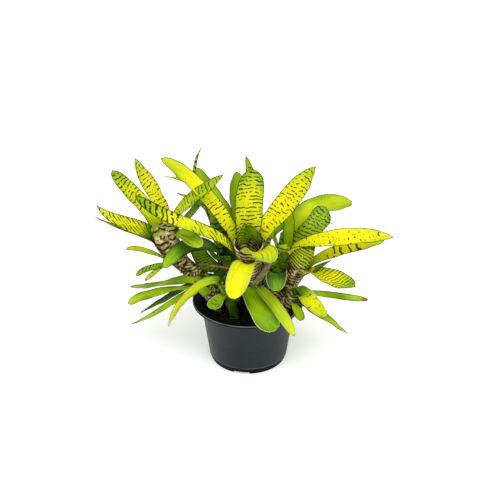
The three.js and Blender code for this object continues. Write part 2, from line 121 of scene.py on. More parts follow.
def primitive(add: Callable, scale: Triple = (1.0, 1.0, 1.0), **settings: object) -> Piece:
    """Add a primitive and apply its place, turn and scale.

    Args:
        add: the operator that makes it.
        scale: how far to stretch it along each axis.
        settings: what the operator is given.

    Returns:
        The new object.
    """
    bpy.ops.object.select_all(action="DESELECT")
    add(**settings)
    piece = bpy.context.object
    piece.scale = scale
    bpy.ops.object.transform_apply(location=True, rotation=True, scale=True)
    return piece


def edit(piece: Piece, mode: str = "VERT", action: str = "DESELECT") -> None:
    """Open a piece in edit mode with nothing selected, or all of it.

    Args:
        piece: the piece to open.
        mode: what is selected, vertices, edges or faces.
        action: SELECT for all of it, or DESELECT.
    """
    select_only(piece)
    bpy.ops.object.mode_set(mode="EDIT")
    bpy.ops.mesh.select_mode(type=mode)
    bpy.ops.mesh.select_all(action=action)


def leave_edit() -> None:
    """Go back to object mode."""
    bpy.ops.object.mode_set(mode="OBJECT")


def seal(piece: Piece) -> None:
    """Merge the vertices that lie on each other and turn the faces outwards.

    Args:
        piece: the piece to close.
    """
    edit(piece, action="SELECT")
    bpy.ops.mesh.remove_doubles(threshold=WELD * MM)
    bpy.ops.mesh.normals_make_consistent(inside=False)
    leave_edit()


def copies(name: str, placed: Iterable[tuple[bpy.types.Mesh, Matrix]]) -> Piece:
    """Copy meshes to their places, all in one new object.

    Args:
        name: the object's name.
        placed: each mesh with its place, turn and size.

    Returns:
        The object.
    """
    points, faces = [], []
    for shape, matrix in placed:
        start = len(points)
        points += [matrix @ vertex.co for vertex in shape.vertices]
        faces += [[start + corner for corner in face.vertices] for face in shape.polygons]
    mesh = bpy.data.meshes.new(name)
    mesh.from_pydata(points, [], faces)
    piece = bpy.data.objects.new(name, mesh)
    bpy.context.collection.objects.link(piece)
    return piece


def join(pieces: Sequence[Piece], name: str) -> Piece:
    """Join objects into the first one and name it.

    Args:
        pieces: the objects to join.
        name: the joined object's name.

    Returns:
        The joined object.
    """
    select_only(*pieces)
    if len(pieces) > 1:
        bpy.ops.object.join()
    joined = bpy.context.view_layer.objects.active
    joined.name = name
    joined.data.name = name
    return joined


def smooth(piece: Piece, degrees: float = 40.0) -> None:
    """Shade a piece smooth, but for edges sharper than an angle."""
    select_only(piece)
    bpy.ops.object.shade_smooth_by_angle(angle=math.radians(degrees))


def store(piece: Piece, name: str, values: Iterable[Sequence[float]]) -> None:
    """Write one vector for each vertex to a named attribute."""
    attribute = piece.data.attributes.new(name, "FLOAT_VECTOR", "POINT")
    attribute.data.foreach_set("vector", [number for value in values for number in value])


@dataclass(frozen=True)
class Spot:
    """Where a vertex of a plant's skin is, and what the finish needs to know there."""

    point: Vector
    place: Triple  # across and along the surface in mm, and the leaf's own offset
    share: Triple  # share of the half width, of the blade's length, and of sheath
    mark: Triple = NONE  # bands, spots, and the count of bands so far
    # the trim's third number is painted shade: on a leaf from its shade field, and deep inside each cup
    trim: Triple = NONE  # dry tip, pale margin and shade
    tone: Triple = NONE  # from deep green to bright yellow, bold bands, and streaks


def skin(name: str, columns: int, rows: int, spot: Callable[[float, float], Spot]) -> Piece:
    """Make a grid primitive and carry its corners to their places on the plant.

    Args:
        name: the new object's name.
        columns: the number of faces across.
        rows: the number of faces along.
        spot: gives the place for a share across and a share along, each from 0 to 1.

    Returns:
        The new object, with the finish's attributes.
    """
    piece = primitive(bpy.ops.mesh.primitive_grid_add, x_subdivisions=columns, y_subdivisions=rows, size=1.0)
    piece.name = name
    spots = [spot(vertex.co.x + 0.5, vertex.co.y + 0.5) for vertex in piece.data.vertices]
    for vertex, found in zip(piece.data.vertices, spots, strict=True):
        vertex.co = found.point * MM
    for kind in ("place", "share", "mark", "trim", "tone"):
        store(piece, kind, [getattr(found, kind) for found in spots])
    return piece


class Bend:
    """A cubic Bezier curve measured by its length."""

    STEPS = 120
    SMALL = 1e-3

    def __init__(self, *corners: Vector) -> None:
        """Measure the curve through its four control points.

        Args:
            corners: start, two handles and end.
        """
        self.corners = corners
        points = [self.raw(k / self.STEPS) for k in range(self.STEPS + 1)]
        self.marks = [0.0]
        for before, after in zip(points, points[1:], strict=False):
            self.marks.append(self.marks[-1] + (after - before).length)
        self.length = self.marks[-1]

    def raw(self, t: float) -> Vector:
        """The point at a parameter."""
        a, b, c, d = self.corners
        s = 1.0 - t
        return a * s**3 + b * (3 * s * s * t) + c * (3 * s * t * t) + d * t**3

    def parameter(self, share: float) -> float:
        """The parameter at a share of the length.

        Args:
            share: the share of the length, from 0 to 1.

        Returns:
            The curve's parameter there.
        """
        goal = min(max(share, 0.0), 1.0) * self.length
        low, high = 0, self.STEPS
        while high - low > 1:
            middle = (low + high) // 2
            if self.marks[middle] <= goal:
                low = middle
            else:
                high = middle
        span = self.marks[high] - self.marks[low]
        return (low + (goal - self.marks[low]) / span) / self.STEPS if span else low / self.STEPS

    def at(self, share: float) -> Vector:
        """The point at a share of the length."""
        return self.raw(self.parameter(share))

    def direction(self, share: float) -> Vector:
        """The unit direction at a share of the length."""
        t = self.parameter(share)
        return (self.raw(min(t + self.SMALL, 1.0)) - self.raw(max(t - self.SMALL, 0.0))).normalized()


# ---------------------------------------------------------------- finishes


class Wire:
    """A value in a material's node tree. Its arithmetic adds Math nodes."""

    def __init__(self, bench: "Bench", socket: bpy.types.NodeSocket) -> None:
        """Hold a node's output.

        Args:
            bench: the tree that the node is in.
            socket: the output that gives the value.
        """
        self.bench = bench
        self.socket = socket

    def __add__(self, other: object) -> "Wire":
        """The sum of this value and another."""
        return self.bench.math("ADD", self, other)

    def __sub__(self, other: object) -> "Wire":
        """This value less another."""
        return self.bench.math("SUBTRACT", self, other)

    def __rsub__(self, other: object) -> "Wire":
        """Another value less this one."""
        return self.bench.math("SUBTRACT", other, self)

    def __mul__(self, other: object) -> "Wire":
        """The product of this value and another."""
        return self.bench.math("MULTIPLY", self, other)


class Bench:
    """A material's node tree, with one short method for each kind of node."""

    def __init__(self, name: str) -> None:
        """Start an empty tree.

        Args:
            name: the material's name.
        """
        self.material = bpy.data.materials.new(name)
        self.material.use_nodes = True
        self.tree = self.material.node_tree
        self.tree.nodes.clear()

    def node(self, kind: str, inputs: dict[int | str, object], **settings: object) -> bpy.types.Node:
        """Add a node, and link or set its inputs.

        Args:
            kind: the node's type.
            inputs: a wire, a display colour or a constant for each input, by its name or number.
            settings: the node's own properties.

        Returns:
            The node.
        """
        node = self.tree.nodes.new(f"ShaderNode{kind}")
        for name, value in settings.items():
            setattr(node, name, value)
        for name, value in inputs.items():
            if isinstance(value, Wire):
                self.tree.links.new(value.socket, node.inputs[name])
            else:
                node.inputs[name].default_value = colour(value) if isinstance(value, str) else value
        return node

    def wire(self, kind: str, inputs: dict, output: int | str = 0, **settings: object) -> Wire:
        """Add a node as above and take one of its outputs."""
        return Wire(self, self.node(kind, inputs, **settings).outputs[output])

    def math(self, operation: str, *values: object) -> Wire:
        """Add a Math node."""
        return self.wire("Math", dict(enumerate(values)), operation=operation)

    def rise(self, value: object, low: object, high: object) -> Wire:
        """A smooth step from 0 at low to 1 at high."""
        inputs = {"Value": value, "From Min": low, "From Max": high}
        return self.wire("MapRange", inputs, interpolation_type="SMOOTHSTEP")

    def blend(self, share: object, a: object, b: object) -> Wire:
        """Mix two colours."""
        return self.wire("Mix", {0: share, 6: a, 7: b}, output=2, data_type="RGBA")

    def ramp(self, share: object, stops: Sequence[tuple[float, str]]) -> Wire:
        """A colour ramp through display colours.

        Args:
            share: where on the ramp the colour is taken.
            stops: the positions and colours.

        Returns:
            The colour.
        """
        node = self.node("ValToRGB", {0: share})
        points = node.color_ramp.elements
        while len(points) < len(stops):
            points.new(0.5)
        for point, (position, code) in zip(points, stops, strict=True):
            point.position = position
            point.color = colour(code)
        return Wire(self, node.outputs[0])

    def parts(self, name: str) -> list[Wire]:
        """The three numbers of a named attribute."""
        vector = self.wire("Attribute", {}, output="Vector", attribute_name=name)
        return [Wire(self, socket) for socket in self.node("SeparateXYZ", {0: vector}).outputs]

    def vector(self, *values: object) -> Wire:
        """Put three values together."""
        return self.wire("CombineXYZ", dict(enumerate(values)))

    def object_place(self, *scale: float) -> Wire:
        """Object coordinates, stretched by a scale on each axis."""
        place = self.wire("TexCoord", {}, output="Object")
        return self.wire("Mapping", {"Vector": place, "Scale": scale})

    def noise(self, place: Wire, detail: float = 2.0, scale: float = 1.0) -> Wire:
        """Soft noise, from about 0.2 to 0.8."""
        return self.wire("TexNoise", {"Vector": place, "Scale": scale, "Detail": detail})

    def cells(self, place: Wire, scale: float = 1.0) -> tuple[Wire, Wire]:
        """Cells: the distance to the nearest centre, and each cell's own colour."""
        node = self.node("TexVoronoi", {"Vector": place, "Scale": scale})
        return Wire(self, node.outputs["Distance"]), Wire(self, node.outputs["Color"])

    def bump(self, height: Wire, strength: float, distance: float) -> Wire:
        """A bumped normal, with its depth in metres."""
        return self.wire("Bump", {"Strength": strength, "Distance": distance, "Height": height})

    def surface(self, **inputs: object) -> Material:
        """Add the shader and the output, and return the material.

        Args:
            inputs: the shader's inputs, with _ for each space.

        Returns:
            The material.
        """
        named = {name.replace("_", " "): value for name, value in inputs.items()}
        self.node("OutputMaterial", {"Surface": self.wire("BsdfPrincipled", named)})
        return self.material


@dataclass(frozen=True)
class LeafFinish:
    """Living leaf: satin, veined along, with broken bands across and a mottled sheath."""

    name: str
    greens: tuple[tuple[float, str], ...] = (
        (0.0, "183a05"), (0.15, "3a6206"), (0.3, "649404"), (0.45, "8cb604"), (0.6, "b4ce08"),
        (0.75, "d8de0a"), (0.92, "f2ec06"),
    )
    browns: tuple[tuple[float, str], ...] = (
        (0.34, "54401e"), (0.43, "8c7440"), (0.5, "c4ac68"), (0.58, "e2cc94"), (0.7, "f4e8bc"),
    )
    brown_band: str = "3a2a08"
    green_band: str = "14260e"
    sheath_band: str = "110806"
    streak_line: str = "5c7410"
    dark_rim: str = "2c2e08"
    pale_rim: str = "e2ec90"
    withered: str = "94602c"
    spine: str = "2c1c0c"
    shadow: str = "0a1206"
    vein_pitch: float = 1.3
    roughness: float = 0.42
    band_sway: float = 1.7  # how far the bands wander, in bands
    band_jitter: float = 0.45  # the same over a few millimetres
    band_strength: float = 0.94
    spot_strength: float = 0.8
    rim_width: float = 1.25  # mm

    def grain(
        self, bench: Bench, across: float, along: float, detail: float = 2.0, shift: float = 0.0
    ) -> Wire:
        """Noise over the leaf, by how fast it changes across and along."""
        place = bench.parts("place")
        return bench.noise(bench.vector(place[0] * across, place[1] * along, place[2] + shift), detail)

    def bands(self, bench: Bench) -> Wire:
        """Where the bands are: wavy lines across the leaf, broken into dashes.

        Args:
            bench: the material's tree.

        Returns:
            From 0 between the bands to 1 on them.
        """
        across, _, offset = bench.parts("place")
        amount, _, count = bench.parts("mark")
        _, bold, _ = bench.parts("tone")
        sway = (self.grain(bench, 0.07, 0.05, 1.0) - 0.5) * self.band_sway
        jitter = (self.grain(bench, 0.2, 0.12, 1.0) - 0.5) * self.band_jitter
        turns = count + sway + jitter
        crest = bench.math("SINE", turns * (2 * math.pi)) * 0.5 + 0.5
        gaps = bench.noise(bench.vector(across * 0.24, turns * 0.9, offset + 3.0))
        low = 0.97 - bold * (gaps + 0.5)
        need = 0.69 - amount * 0.26
        return bench.rise(crest, low, low + 0.14) * bench.rise(gaps, need, need + 0.05)

    def flecks(self, bench: Bench) -> Wire:
        """Where the spots are: small, and gathered in loose patches.

        Args:
            bench: the material's tree.

        Returns:
            From 0 beside the spots up to their strength.
        """
        across, along, offset = bench.parts("place")
        _, spots, _ = bench.parts("mark")
        distance, cell = bench.cells(bench.vector(across * 0.4, along * 0.3, offset))
        patches = bench.rise(self.grain(bench, 0.07, 0.04, 1.0), 0.4, 0.56)
        return bench.rise(distance, 0.27, 0.16) * bench.rise(cell, 0.42, 0.46) * patches * spots

    def build(self) -> Material:
        """Make the material from the plant's attributes.

        Returns:
            The material.
        """
        bench = Bench(self.name)
        across, _, _ = bench.parts("place")
        side, outer, sheath = bench.parts("share")
        dry, pale, shade = bench.parts("trim")
        tone, _, streaks = bench.parts("tone")
        edge = bench.math("ABSOLUTE", side)
        width = bench.math("ABSOLUTE", across)
        banding = self.bands(bench)

        streak = self.grain(bench, 0.9, 0.022)
        hue = tone + (self.grain(bench, 0.05, 0.03, 3.0) - 0.5) * 0.65 + (streak - 0.5) * 0.28
        hue = hue - bench.math("POWER", edge, 3.0) * 0.17
        lines = bench.rise(streak, 0.52, 0.62) * streaks
        blade = bench.blend(lines * 0.7, bench.ramp(hue, self.greens), self.streak_line)
        dark = bench.blend(bench.rise(hue, 0.3, 0.75), self.green_band, self.brown_band)

        mottle = self.grain(bench, 0.12, 0.1, shift=9.0)
        husk = bench.rise(sheath + (mottle - 0.5) * 0.9, 0.3, 0.8)
        ground = bench.blend(husk, blade, bench.ramp(mottle, self.browns))
        dark = bench.blend(husk, dark, self.sheath_band)
        marked = bench.math("MAXIMUM", banding * self.band_strength, self.flecks(bench) * self.spot_strength)
        painted = bench.blend(marked, ground, dark)

        inset = bench.math("DIVIDE", width, bench.math("MAXIMUM", edge, 0.02)) - width
        rim = bench.rise(inset, self.rim_width, self.rim_width * 0.4) * bench.rise(outer, -0.02, 0.06)
        painted = bench.blend(rim * 0.85, painted, bench.blend(pale, self.dark_rim, self.pale_rim))
        painted = bench.blend(dry * bench.rise(outer, 0.88, 0.94), painted, self.withered)
        painted = bench.blend(bench.rise(outer, 0.984, 0.996), painted, self.spine)
        # painted shade: darker towards the shadow colour where the trim's third number is set
        painted = bench.blend(shade, painted, self.shadow)

        veins = self.grain(bench, self.vein_pitch, 0.012)
        return bench.surface(
            Base_Color=painted,
            Roughness=(streak - 0.5) * 0.25 + self.roughness + sheath * 0.2,
            Normal=bench.bump(veins + banding * 0.15, 0.5, 0.0004),
            Subsurface_Weight=0.08,
            Subsurface_Radius=(0.9, 1.0, 0.1),
            Subsurface_Scale=0.0012,
            Specular_IOR_Level=0.15,
        )


@dataclass(frozen=True)
class ToothFinish:
    """Horny teeth on a leaf's margin, pale on the old leaves and dark on the young ones."""

    name: str
    dark: str = "3a3010"
    pale: str = "e6e89a"
    worn: str = "7a5a20"

    def build(self) -> Material:
        """Make the material from the teeth's attribute.

        Returns:
            The material.
        """
        bench = Bench(self.name)
        _, pale, _ = bench.parts("trim")
        grain = bench.noise(bench.object_place(900.0, 900.0, 900.0))
        horn = bench.blend(pale, self.dark, self.pale)
        return bench.surface(Base_Color=bench.blend(grain * 0.3, horn, self.worn), Roughness=0.45)


@dataclass(frozen=True)
class PotFinish:
    """Charcoal polypropylene: satin, with flow marks and scuffs, painted highlights at its edges and painted
    shade inside.
    """

    name: str
    base: str = "141f25"
    dark: str = "0f161a"
    scuff: str = "5c6468"
    # painted shade: near black inside, on the flange, on the rim's face and round the foot
    painted_shade: str = "040606"
    # painted highlight lines along the rim, the lip and the foot's edge
    worn: str = "90979a"
    gloss: float = 0.24

    def build(self) -> Material:
        """Make the material from the pot's attribute and its own coordinates.

        Returns:
            The material.
        """
        bench = Bench(self.name)
        painted_highlight, painted_shade, _ = bench.parts("zone")
        clouds = bench.noise(bench.object_place(28.0, 28.0, 9.0), 3.0)
        flow = bench.noise(bench.object_place(240.0, 240.0, 10.0))
        grain = bench.noise(bench.object_place(2600.0, 2600.0, 2600.0), 1.0)
        scuffs = bench.noise(bench.object_place(60.0, 60.0, 900.0), 3.0)
        tint = bench.blend(bench.rise(clouds, 0.3, 0.7), self.dark, self.base)
        tint = bench.blend(bench.rise(scuffs, 0.64, 0.78) * 0.25, tint, self.scuff)
        # painted shade inside, on the flange, on the rim's face and round the foot
        tint = bench.blend(painted_shade, tint, self.painted_shade)
        # painted highlight lines where the zone's first number is set, broken by the clouds
        tint = bench.blend(painted_highlight * bench.rise(clouds, 0.25, 0.55), tint, self.worn)
        return bench.surface(
            Base_Color=tint,
            Roughness=(clouds - 0.5) * 0.3 + 0.42,
            Normal=bench.bump(flow * 0.7 + grain * 0.3, 0.25, 0.0003),
            Specular_IOR_Level=self.gloss,
        )


@dataclass(frozen=True)
class BarkFinish:
    """Bark mix: dark, fibrous and matt, each chip with a shade of its own."""

    name: str
    # near black: the bark's own dark brown, darkened further as painted shade inside the pot
    dark: str = "070504"
    body: str = "1a120d"
    light: str = "33241a"

    def build(self) -> Material:
        """Make the material from the piece's own coordinates.

        Returns:
            The material.
        """
        bench = Bench(self.name)
        place = bench.object_place(1.0, 1.0, 1.0)
        _, cell = bench.cells(place, 130.0)
        fibre = bench.noise(bench.object_place(420.0, 420.0, 1500.0), 4.0)
        crumb = bench.noise(place, 4.0, 700.0)
        tint = bench.blend(cell, self.dark, self.body)
        return bench.surface(
            Base_Color=bench.blend(bench.rise(fibre, 0.52, 0.72), tint, self.light),
            Roughness=0.92,
            Normal=bench.bump(fibre + crumb, 0.8, 0.0008),
            Specular_IOR_Level=0.25,
        )


@dataclass(frozen=True)
class StrawFinish:
    """Dry stalk and runner: tan, darker along the ridges."""

    name: str
    dark: str = "3a2412"
    body: str = "8a5f34"
    light: str = "c79a5e"

    def build(self) -> Material:
        """Make the material from the stalk's attributes.

        Returns:
            The material.
        """
        bench = Bench(self.name)
        across, along, _ = bench.parts("place")
        ridges = bench.noise(bench.vector(across * 1.8, along * 0.09, 0.0), 3.0)
        tint = bench.ramp(ridges, [(0.36, self.dark), (0.5, self.body), (0.64, self.light)])
        return bench.surface(Base_Color=tint, Roughness=0.75, Normal=bench.bump(ridges, 0.5, 0.0004))


# ---------------------------------------------------------------- leaves


SHEATH_BANDS = 1.3
SHEATH_BOLD = 0.46
BAND_FADE = 0.12  # share of the blade over which its banding comes and goes


class Form(Enum):
    """A blade's outline: base width, where it is widest, how square its tip is, and how full."""

    LANCE = (0.6, 0.55, 2.2, 0.75)
    OVAL = (0.5, 0.6, 2.8, 0.6)
    STRAP = (0.8, 0.5, 4.0, 0.55)
    TAPER = (0.85, 0.3, 1.6, 0.8)

    def share(self, along: float) -> float:
        """The width at a share of the length, as a share of the widest.

        Args:
            along: the share of the length, from 0 to 1.

        Returns:
            The share of the widest, from 0 to 1.
        """
        base, widest, rounding, fullness = self.value
        if along < widest:
            return base + (1.0 - base) * math.sin((math.pi / 2) * (along / widest))
        out = (along - widest) / (1.0 - widest)
        return (1.0 - out**rounding) ** fullness


class Tone(Enum):
    """How yellow a leaf is, from deep green to bright yellow."""

    DEEP = 0.08
    OLIVE = 0.24
    GREEN = 0.4
    FRESH = 0.52
    LIME = 0.65
    YELLOW = 0.8
    BRIGHT = 0.96


class Marking(Enum):
    """A leaf's markings: bands, spots, slant, chevron, the bands' pitch in mm, and how bold they are."""

    PLAIN = (0.0, 0.15, 0.0, 0.0, 5.0, 0.1)
    FLECKED = (0.55, 1.2, 0.1, 0.0, 6.5, 0.2)
    SPARSE = (0.7, 0.8, 0.1, 0.0, 6.2, 0.22)
    RINGED = (0.95, 0.7, 0.1, 0.0, 5.6, 0.22)
    BARRED = (1.05, 0.4, 0.0, 0.0, 5.1, 0.3)
    FINE = (1.0, 0.2, -0.5, 0.0, 4.6, 0.24)
    OBLIQUE = (1.05, 0.4, 1.1, 0.0, 6.4, 0.32)
    HEAVY = (1.2, 0.4, 0.3, 0.0, 7.6, 0.38)
    CHEVRON = (1.0, 0.2, 0.0, 0.8, 5.6, 0.3)
    DASHED = (1.0, 0.7, 1.2, 0.0, 6.4, 0.28)
    SLASHED = (1.3, 0.1, -0.35, 0.0, 4.8, 0.22)
    DENSE = (1.35, 0.3, 0.8, 0.0, 4.5, 0.38)
    HOOPED = (1.1, 1.1, 0.1, 0.0, 10.5, 0.2)

    def at(self, across: float, along: float, amount: float, sheath: float) -> Triple:
        """How a leaf is marked at one place.

        Args:
            across: the place across, in mm.
            along: the place along, in mm.
            amount: the share of the full marking here.
            sheath: the share of sheath here, which is always banded.

        Returns:
            Bands, spots, and the count of bands so far.
        """
        bands, spots, slant, chevron, pitch, _ = self.value
        count = (along + slant * across + chevron * abs(across)) / pitch
        return max(bands * amount, SHEATH_BANDS * sheath), spots, count

    def bold_at(self, sheath: float) -> float:
        """How bold the bands are, by the share of sheath."""
        return lerp(self.value[-1], SHEATH_BOLD, sheath)


@dataclass(frozen=True)
class Leaf:
    """One leaf, given by where its tip is from the middle of its rosette's mouth."""

    toward: float  # degrees from +X round to +Y
    reach: float
    lift: float
    width: float
    form: Form
    below: float  # how deep under the mouth it leaves the funnel
    arch: float  # how far it bows up on its way
    shoulder: float  # share of the way over which it goes on up the wall's line
    turn: float = 0.0  # how far round the funnel from its tip it grows, in degrees
    roll: float = 0.0  # how far it twists, in degrees
    sway: float = 0.0  # how far it bows sideways
    tone: Tone = Tone.FRESH
    marking: Marking = Marking.BARRED
    foot: Tone | None = None  # the tone of its foot, if it is another one
    tip: Tone | None = None
    tip_marking: Marking | None = None  # the marking of the outer part, if it is another one
    banded: tuple[float, float] = (-0.3, 1.3)  # the stretch that is banded, or the one that isn't if it falls
    streaks: float = 0.0
    dry_tip: float = 0.0
    pale: float = 0.0
    # painted shade, from 0 to 1, darkest at the blade's foot and gone at its tip
    shade: float = 0.0
    husk: float = 0.0  # how far an old leaf has dried to a brown sheath
    nest: float = 1.0  # share of the funnel's radius at which the leaf stands; under 1 is inside the cup

    def tone_at(self, blade: float) -> float:
        """How yellow the leaf is at a share of its blade.

        Args:
            blade: the share of the blade.

        Returns:
            From 0 for deep green to 1 for bright yellow.
        """
        foot = (self.foot or self.tone).value
        tip = (self.tip or self.tone).value
        body = lerp(foot, self.tone.value, smoothstep(blade / 0.4))
        return lerp(body, tip, smoothstep((blade - 0.6) / 0.38))

    def banding_at(self, blade: float) -> float:
        """How much of its banding the leaf has at a share of its blade.

        Args:
            blade: the share of the blade.

        Returns:
            From 0 to 1.
        """
        first, last = self.banded
        begun = smoothstep((blade - first) / BAND_FADE + 0.5)
        left = smoothstep((last - blade) / BAND_FADE + 0.5)
        return max(begun, left) if first > last else begun * left


@dataclass(frozen=True)
class Section:
    """One cross-section of a leaf: a shallow arc with its edges raised towards the upper side."""

    centre: Vector
    across: Vector
    upper: Vector
    width: float
    half_angle: float
    along_mm: float
    blade: float
    sheath: float

    def at(self, share: float, rise: float = 0.0) -> Vector:
        """The point at a share of the half width, lifted off the arc by a rise.

        Args:
            share: from -1 at one margin to 1 at the other.
            rise: how far above the arc, in mm.

        Returns:
            The point in mm.
        """
        bend = self.width / (2 * self.half_angle)
        angle = share * self.half_angle
        arc = self.across * (bend * math.sin(angle)) + self.upper * (bend * (1 - math.cos(angle)))
        normal = self.upper * math.cos(angle) - self.across * math.sin(angle)
        return self.centre + arc + normal * rise


class Blade:
    """A leaf in place on its rosette, from the foot of its sheath to its tip."""

    SHEATH_SHARE = 0.28  # share of the rows
    SHEATH_PROUD = 0.3
    RANK_PROUD = 0.2  # how much further out each next leaf lies
    CHANNEL = 0.32  # half the angle of the open blade's arc
    MOST_WRAP = 1.3
    FOOT_WRAP = 1.5
    COLUMNS = 14
    ROWS = 52
    THICKNESS = 1.1
    THINNEST = 0.25
    GROOVE = 0.35
    WAVE_LENGTHS = (6.1, 3.3)
    MOST_WAVE = 0.6
    END = 0.998  # the last row, just short of the tip
    LEAST_WIDTH = 0.25
    OUTER_PART = 0.6  # where tip_marking begins
    TOOTH_PITCH = 2.4
    TOOTH_SIZES = (0.55, 1.0)
    SPINE = 2.4  # how much larger the tip's spine is than a tooth

    def __init__(self, rosette: "Rosette", leaf: Leaf, rank: int, seed: int) -> None:
        """Find the leaf's root, sheath and middle line.

        Args:
            rosette: what it grows on.
            leaf: its sizes and look.
            rank: its place from the innermost leaf outwards.
            seed: makes its waves and markings its own.
        """
        self.rosette = rosette
        self.leaf = leaf
        self.proud = self.SHEATH_PROUD + self.RANK_PROUD * rank
        self.random = random.Random(seed)
        self.offset = self.random.uniform(0.0, 400.0)
        self.wave = [self.random.uniform(0.0, 2 * math.pi) for _ in range(3)]
        self.heading = level(leaf.toward + leaf.turn)
        self.sheath_length = max(min(rosette.funnel * 0.7, rosette.line.length - leaf.below - 6), 6.0)
        self.root = self.wall_point(leaf.below)
        self.wall_up = (self.root - self.wall_point(leaf.below + 3)).normalized()
        self.side = rosette.axis(leaf.below).cross(self.outward(leaf.below))
        self.line = self.middle_line()

    def outward(self, below: float) -> Vector:
        """The way out from the funnel's axis at a depth under the mouth."""
        axis = self.rosette.axis(below)
        return (self.heading - axis * self.heading.dot(axis)).normalized()

    def radius(self, below: float) -> float:
        """How far from the axis the sheath lies."""
        return self.rosette.radius(below) * self.leaf.nest + self.proud

    def wall_point(self, below: float) -> Vector:
        """Where the sheath's middle lies on the funnel's wall."""
        return self.rosette.point(below) + self.outward(below) * self.radius(below)

    def wrap(self, below: float) -> float:
        """How far half the leaf's foot wraps round its funnel."""
        return min(self.MOST_WRAP, (self.leaf.width * 0.5) / self.rosette.radius(below))

    def middle_line(self) -> Bend:
        """The blade's middle line: up along the funnel's wall, then out to the tip.

        Returns:
            The line from the root to the tip.
        """
        leaf = self.leaf
        tip = Vector(self.rosette.mouth) + level(leaf.toward) * leaf.reach + UP * leaf.lift
        span = (tip - self.root).length
        shoulder = self.root + self.wall_up * (span * leaf.shoulder)
        elbow = self.root.lerp(tip, 0.65) + level(leaf.toward + 90) * leaf.sway + UP * leaf.arch
        return Bend(self.root, shoulder, elbow, tip)

    def section(self, share: float) -> Section:
        """The cross-section at a share of the way from the sheath's foot to the tip.

        Args:
            share: from 0 at the foot to 1 at the tip.

        Returns:
            The cross-section.
        """
        if share < self.SHEATH_SHARE:
            return self.sheath_section(share / self.SHEATH_SHARE)
        out = (share - self.SHEATH_SHARE) / (1 - self.SHEATH_SHARE)
        along = min(0.5 * out + 0.5 * math.sin(out * math.pi / 2), self.END)
        return self.blade_section(along)

    def sheath_section(self, up: float) -> Section:
        """A cross-section of the sheath, which hugs the funnel.

        Args:
            up: the share of the way from the sheath's foot to the root.

        Returns:
            The cross-section.
        """
        leaf = self.leaf
        below = leaf.below + self.sheath_length * (1 - up)
        foot_wrap = min(self.FOOT_WRAP, self.wrap(leaf.below) * 2.4)
        half_angle = lerp(foot_wrap, self.wrap(leaf.below), smoothstep(up))
        direction = (self.wall_point(below - 1) - self.wall_point(below + 1)).normalized()
        across = (self.side - direction * self.side.dot(direction)).normalized()
        width = 2 * half_angle * self.radius(below)
        return Section(
            centre=self.wall_point(below),
            across=across,
            upper=direction.cross(across),
            width=width,
            half_angle=half_angle,
            along_mm=self.sheath_length * up,
            blade=0.0,
            sheath=self.rosette.brown(below),
        )

    def blade_section(self, along: float) -> Section:
        """A cross-section of the blade, which opens out of the funnel.

        Args:
            along: the share of the way from the root to the tip.

        Returns:
            The cross-section.
        """
        leaf = self.leaf
        root_wrap = self.wrap(leaf.below)
        direction = self.line.direction(along)
        across = (self.side - direction * self.side.dot(direction)).normalized()
        across = Matrix.Rotation(math.radians(leaf.roll * smoothstep(along / 0.5)), 3, direction) @ across
        sheath_width = 2 * root_wrap * self.radius(leaf.below)
        width = lerp(sheath_width, leaf.width * leaf.form.share(along), smoothstep(along / 0.14))
        return Section(
            centre=self.line.at(along),
            across=across,
            upper=direction.cross(across),
            width=max(width, self.LEAST_WIDTH),
            half_angle=lerp(root_wrap, self.CHANNEL, smoothstep(along / 0.45)),
            along_mm=self.sheath_length + self.line.length * along,
            blade=along,
            sheath=self.rosette.brown(leaf.below) * smoothstep((0.09 - along) / 0.07),
        )

    def ripple(self, section: Section, side: float) -> float:
        """How far the margin waves up and down, and the midrib sinks, in millimetres.

        Args:
            section: the cross-section.
            side: from -1 at one margin to 1 at the other.

        Returns:
            The rise over the plain arc.
        """
        first, second, third = self.wave
        phase = first if side > 0 else second
        free = smoothstep(section.blade / 0.15) * smoothstep((1 - section.blade) / 0.12)
        long, short = (section.along_mm / length for length in self.WAVE_LENGTHS)
        wave = math.sin(long + phase) + 0.6 * math.sin(short + third)
        size = min(self.leaf.width * 0.022, self.MOST_WAVE)
        groove = self.GROOVE * math.exp(-((side / 0.1) ** 2)) * smoothstep(section.blade / 0.2)
        return free * (wave * size * side**4 - groove)

    def build(self) -> Piece:
        """Make the leaf's mesh, thick along the middle and thin at the margins.

        Returns:
            The leaf.
        """
        leaf = self.leaf
        sections = {}

        def spot(u: float, v: float) -> Spot:
            """Find one corner of the leaf.

            Args:
                u: share of the way across or round.
                v: share of the way along.

            Returns:
                Its place and what the finish needs.
            """
            row = round(v * self.ROWS)
            if row not in sections:
                sections[row] = self.section(row / self.ROWS)
            section = sections[row]
            side = 2 * u - 1
            across = side * section.width / 2
            amount = leaf.banding_at(section.blade)
            outer = leaf.tip_marking and section.blade > self.OUTER_PART
            marking = leaf.tip_marking if outer else leaf.marking
            sheath = max(section.sheath, leaf.husk)
            return Spot(
                point=section.at(side, self.ripple(section, side)),
                place=(across, section.along_mm, self.offset),
                share=(side, section.blade, sheath),
                mark=marking.at(across, section.along_mm, amount, sheath),
                trim=(leaf.dry_tip, leaf.pale, leaf.shade * smoothstep(1 - section.blade)),
                tone=(leaf.tone_at(section.blade), marking.bold_at(sheath), leaf.streaks),
            )

        piece = skin("leaf", self.COLUMNS, self.ROWS, spot)
        group = piece.vertex_groups.new(name="thick")
        sides = piece.data.attributes["share"].data
        for vertex in piece.data.vertices:
            group.add([vertex.index], 1 - 0.65 * abs(sides[vertex.index].vector[0]) ** 3, "REPLACE")
        thin = {"vertex_group": "thick", "thickness_vertex_group": self.THINNEST}
        apply_modifier(piece, "SOLIDIFY", thickness=self.THICKNESS * MM, offset=0.0, **thin)
        return piece

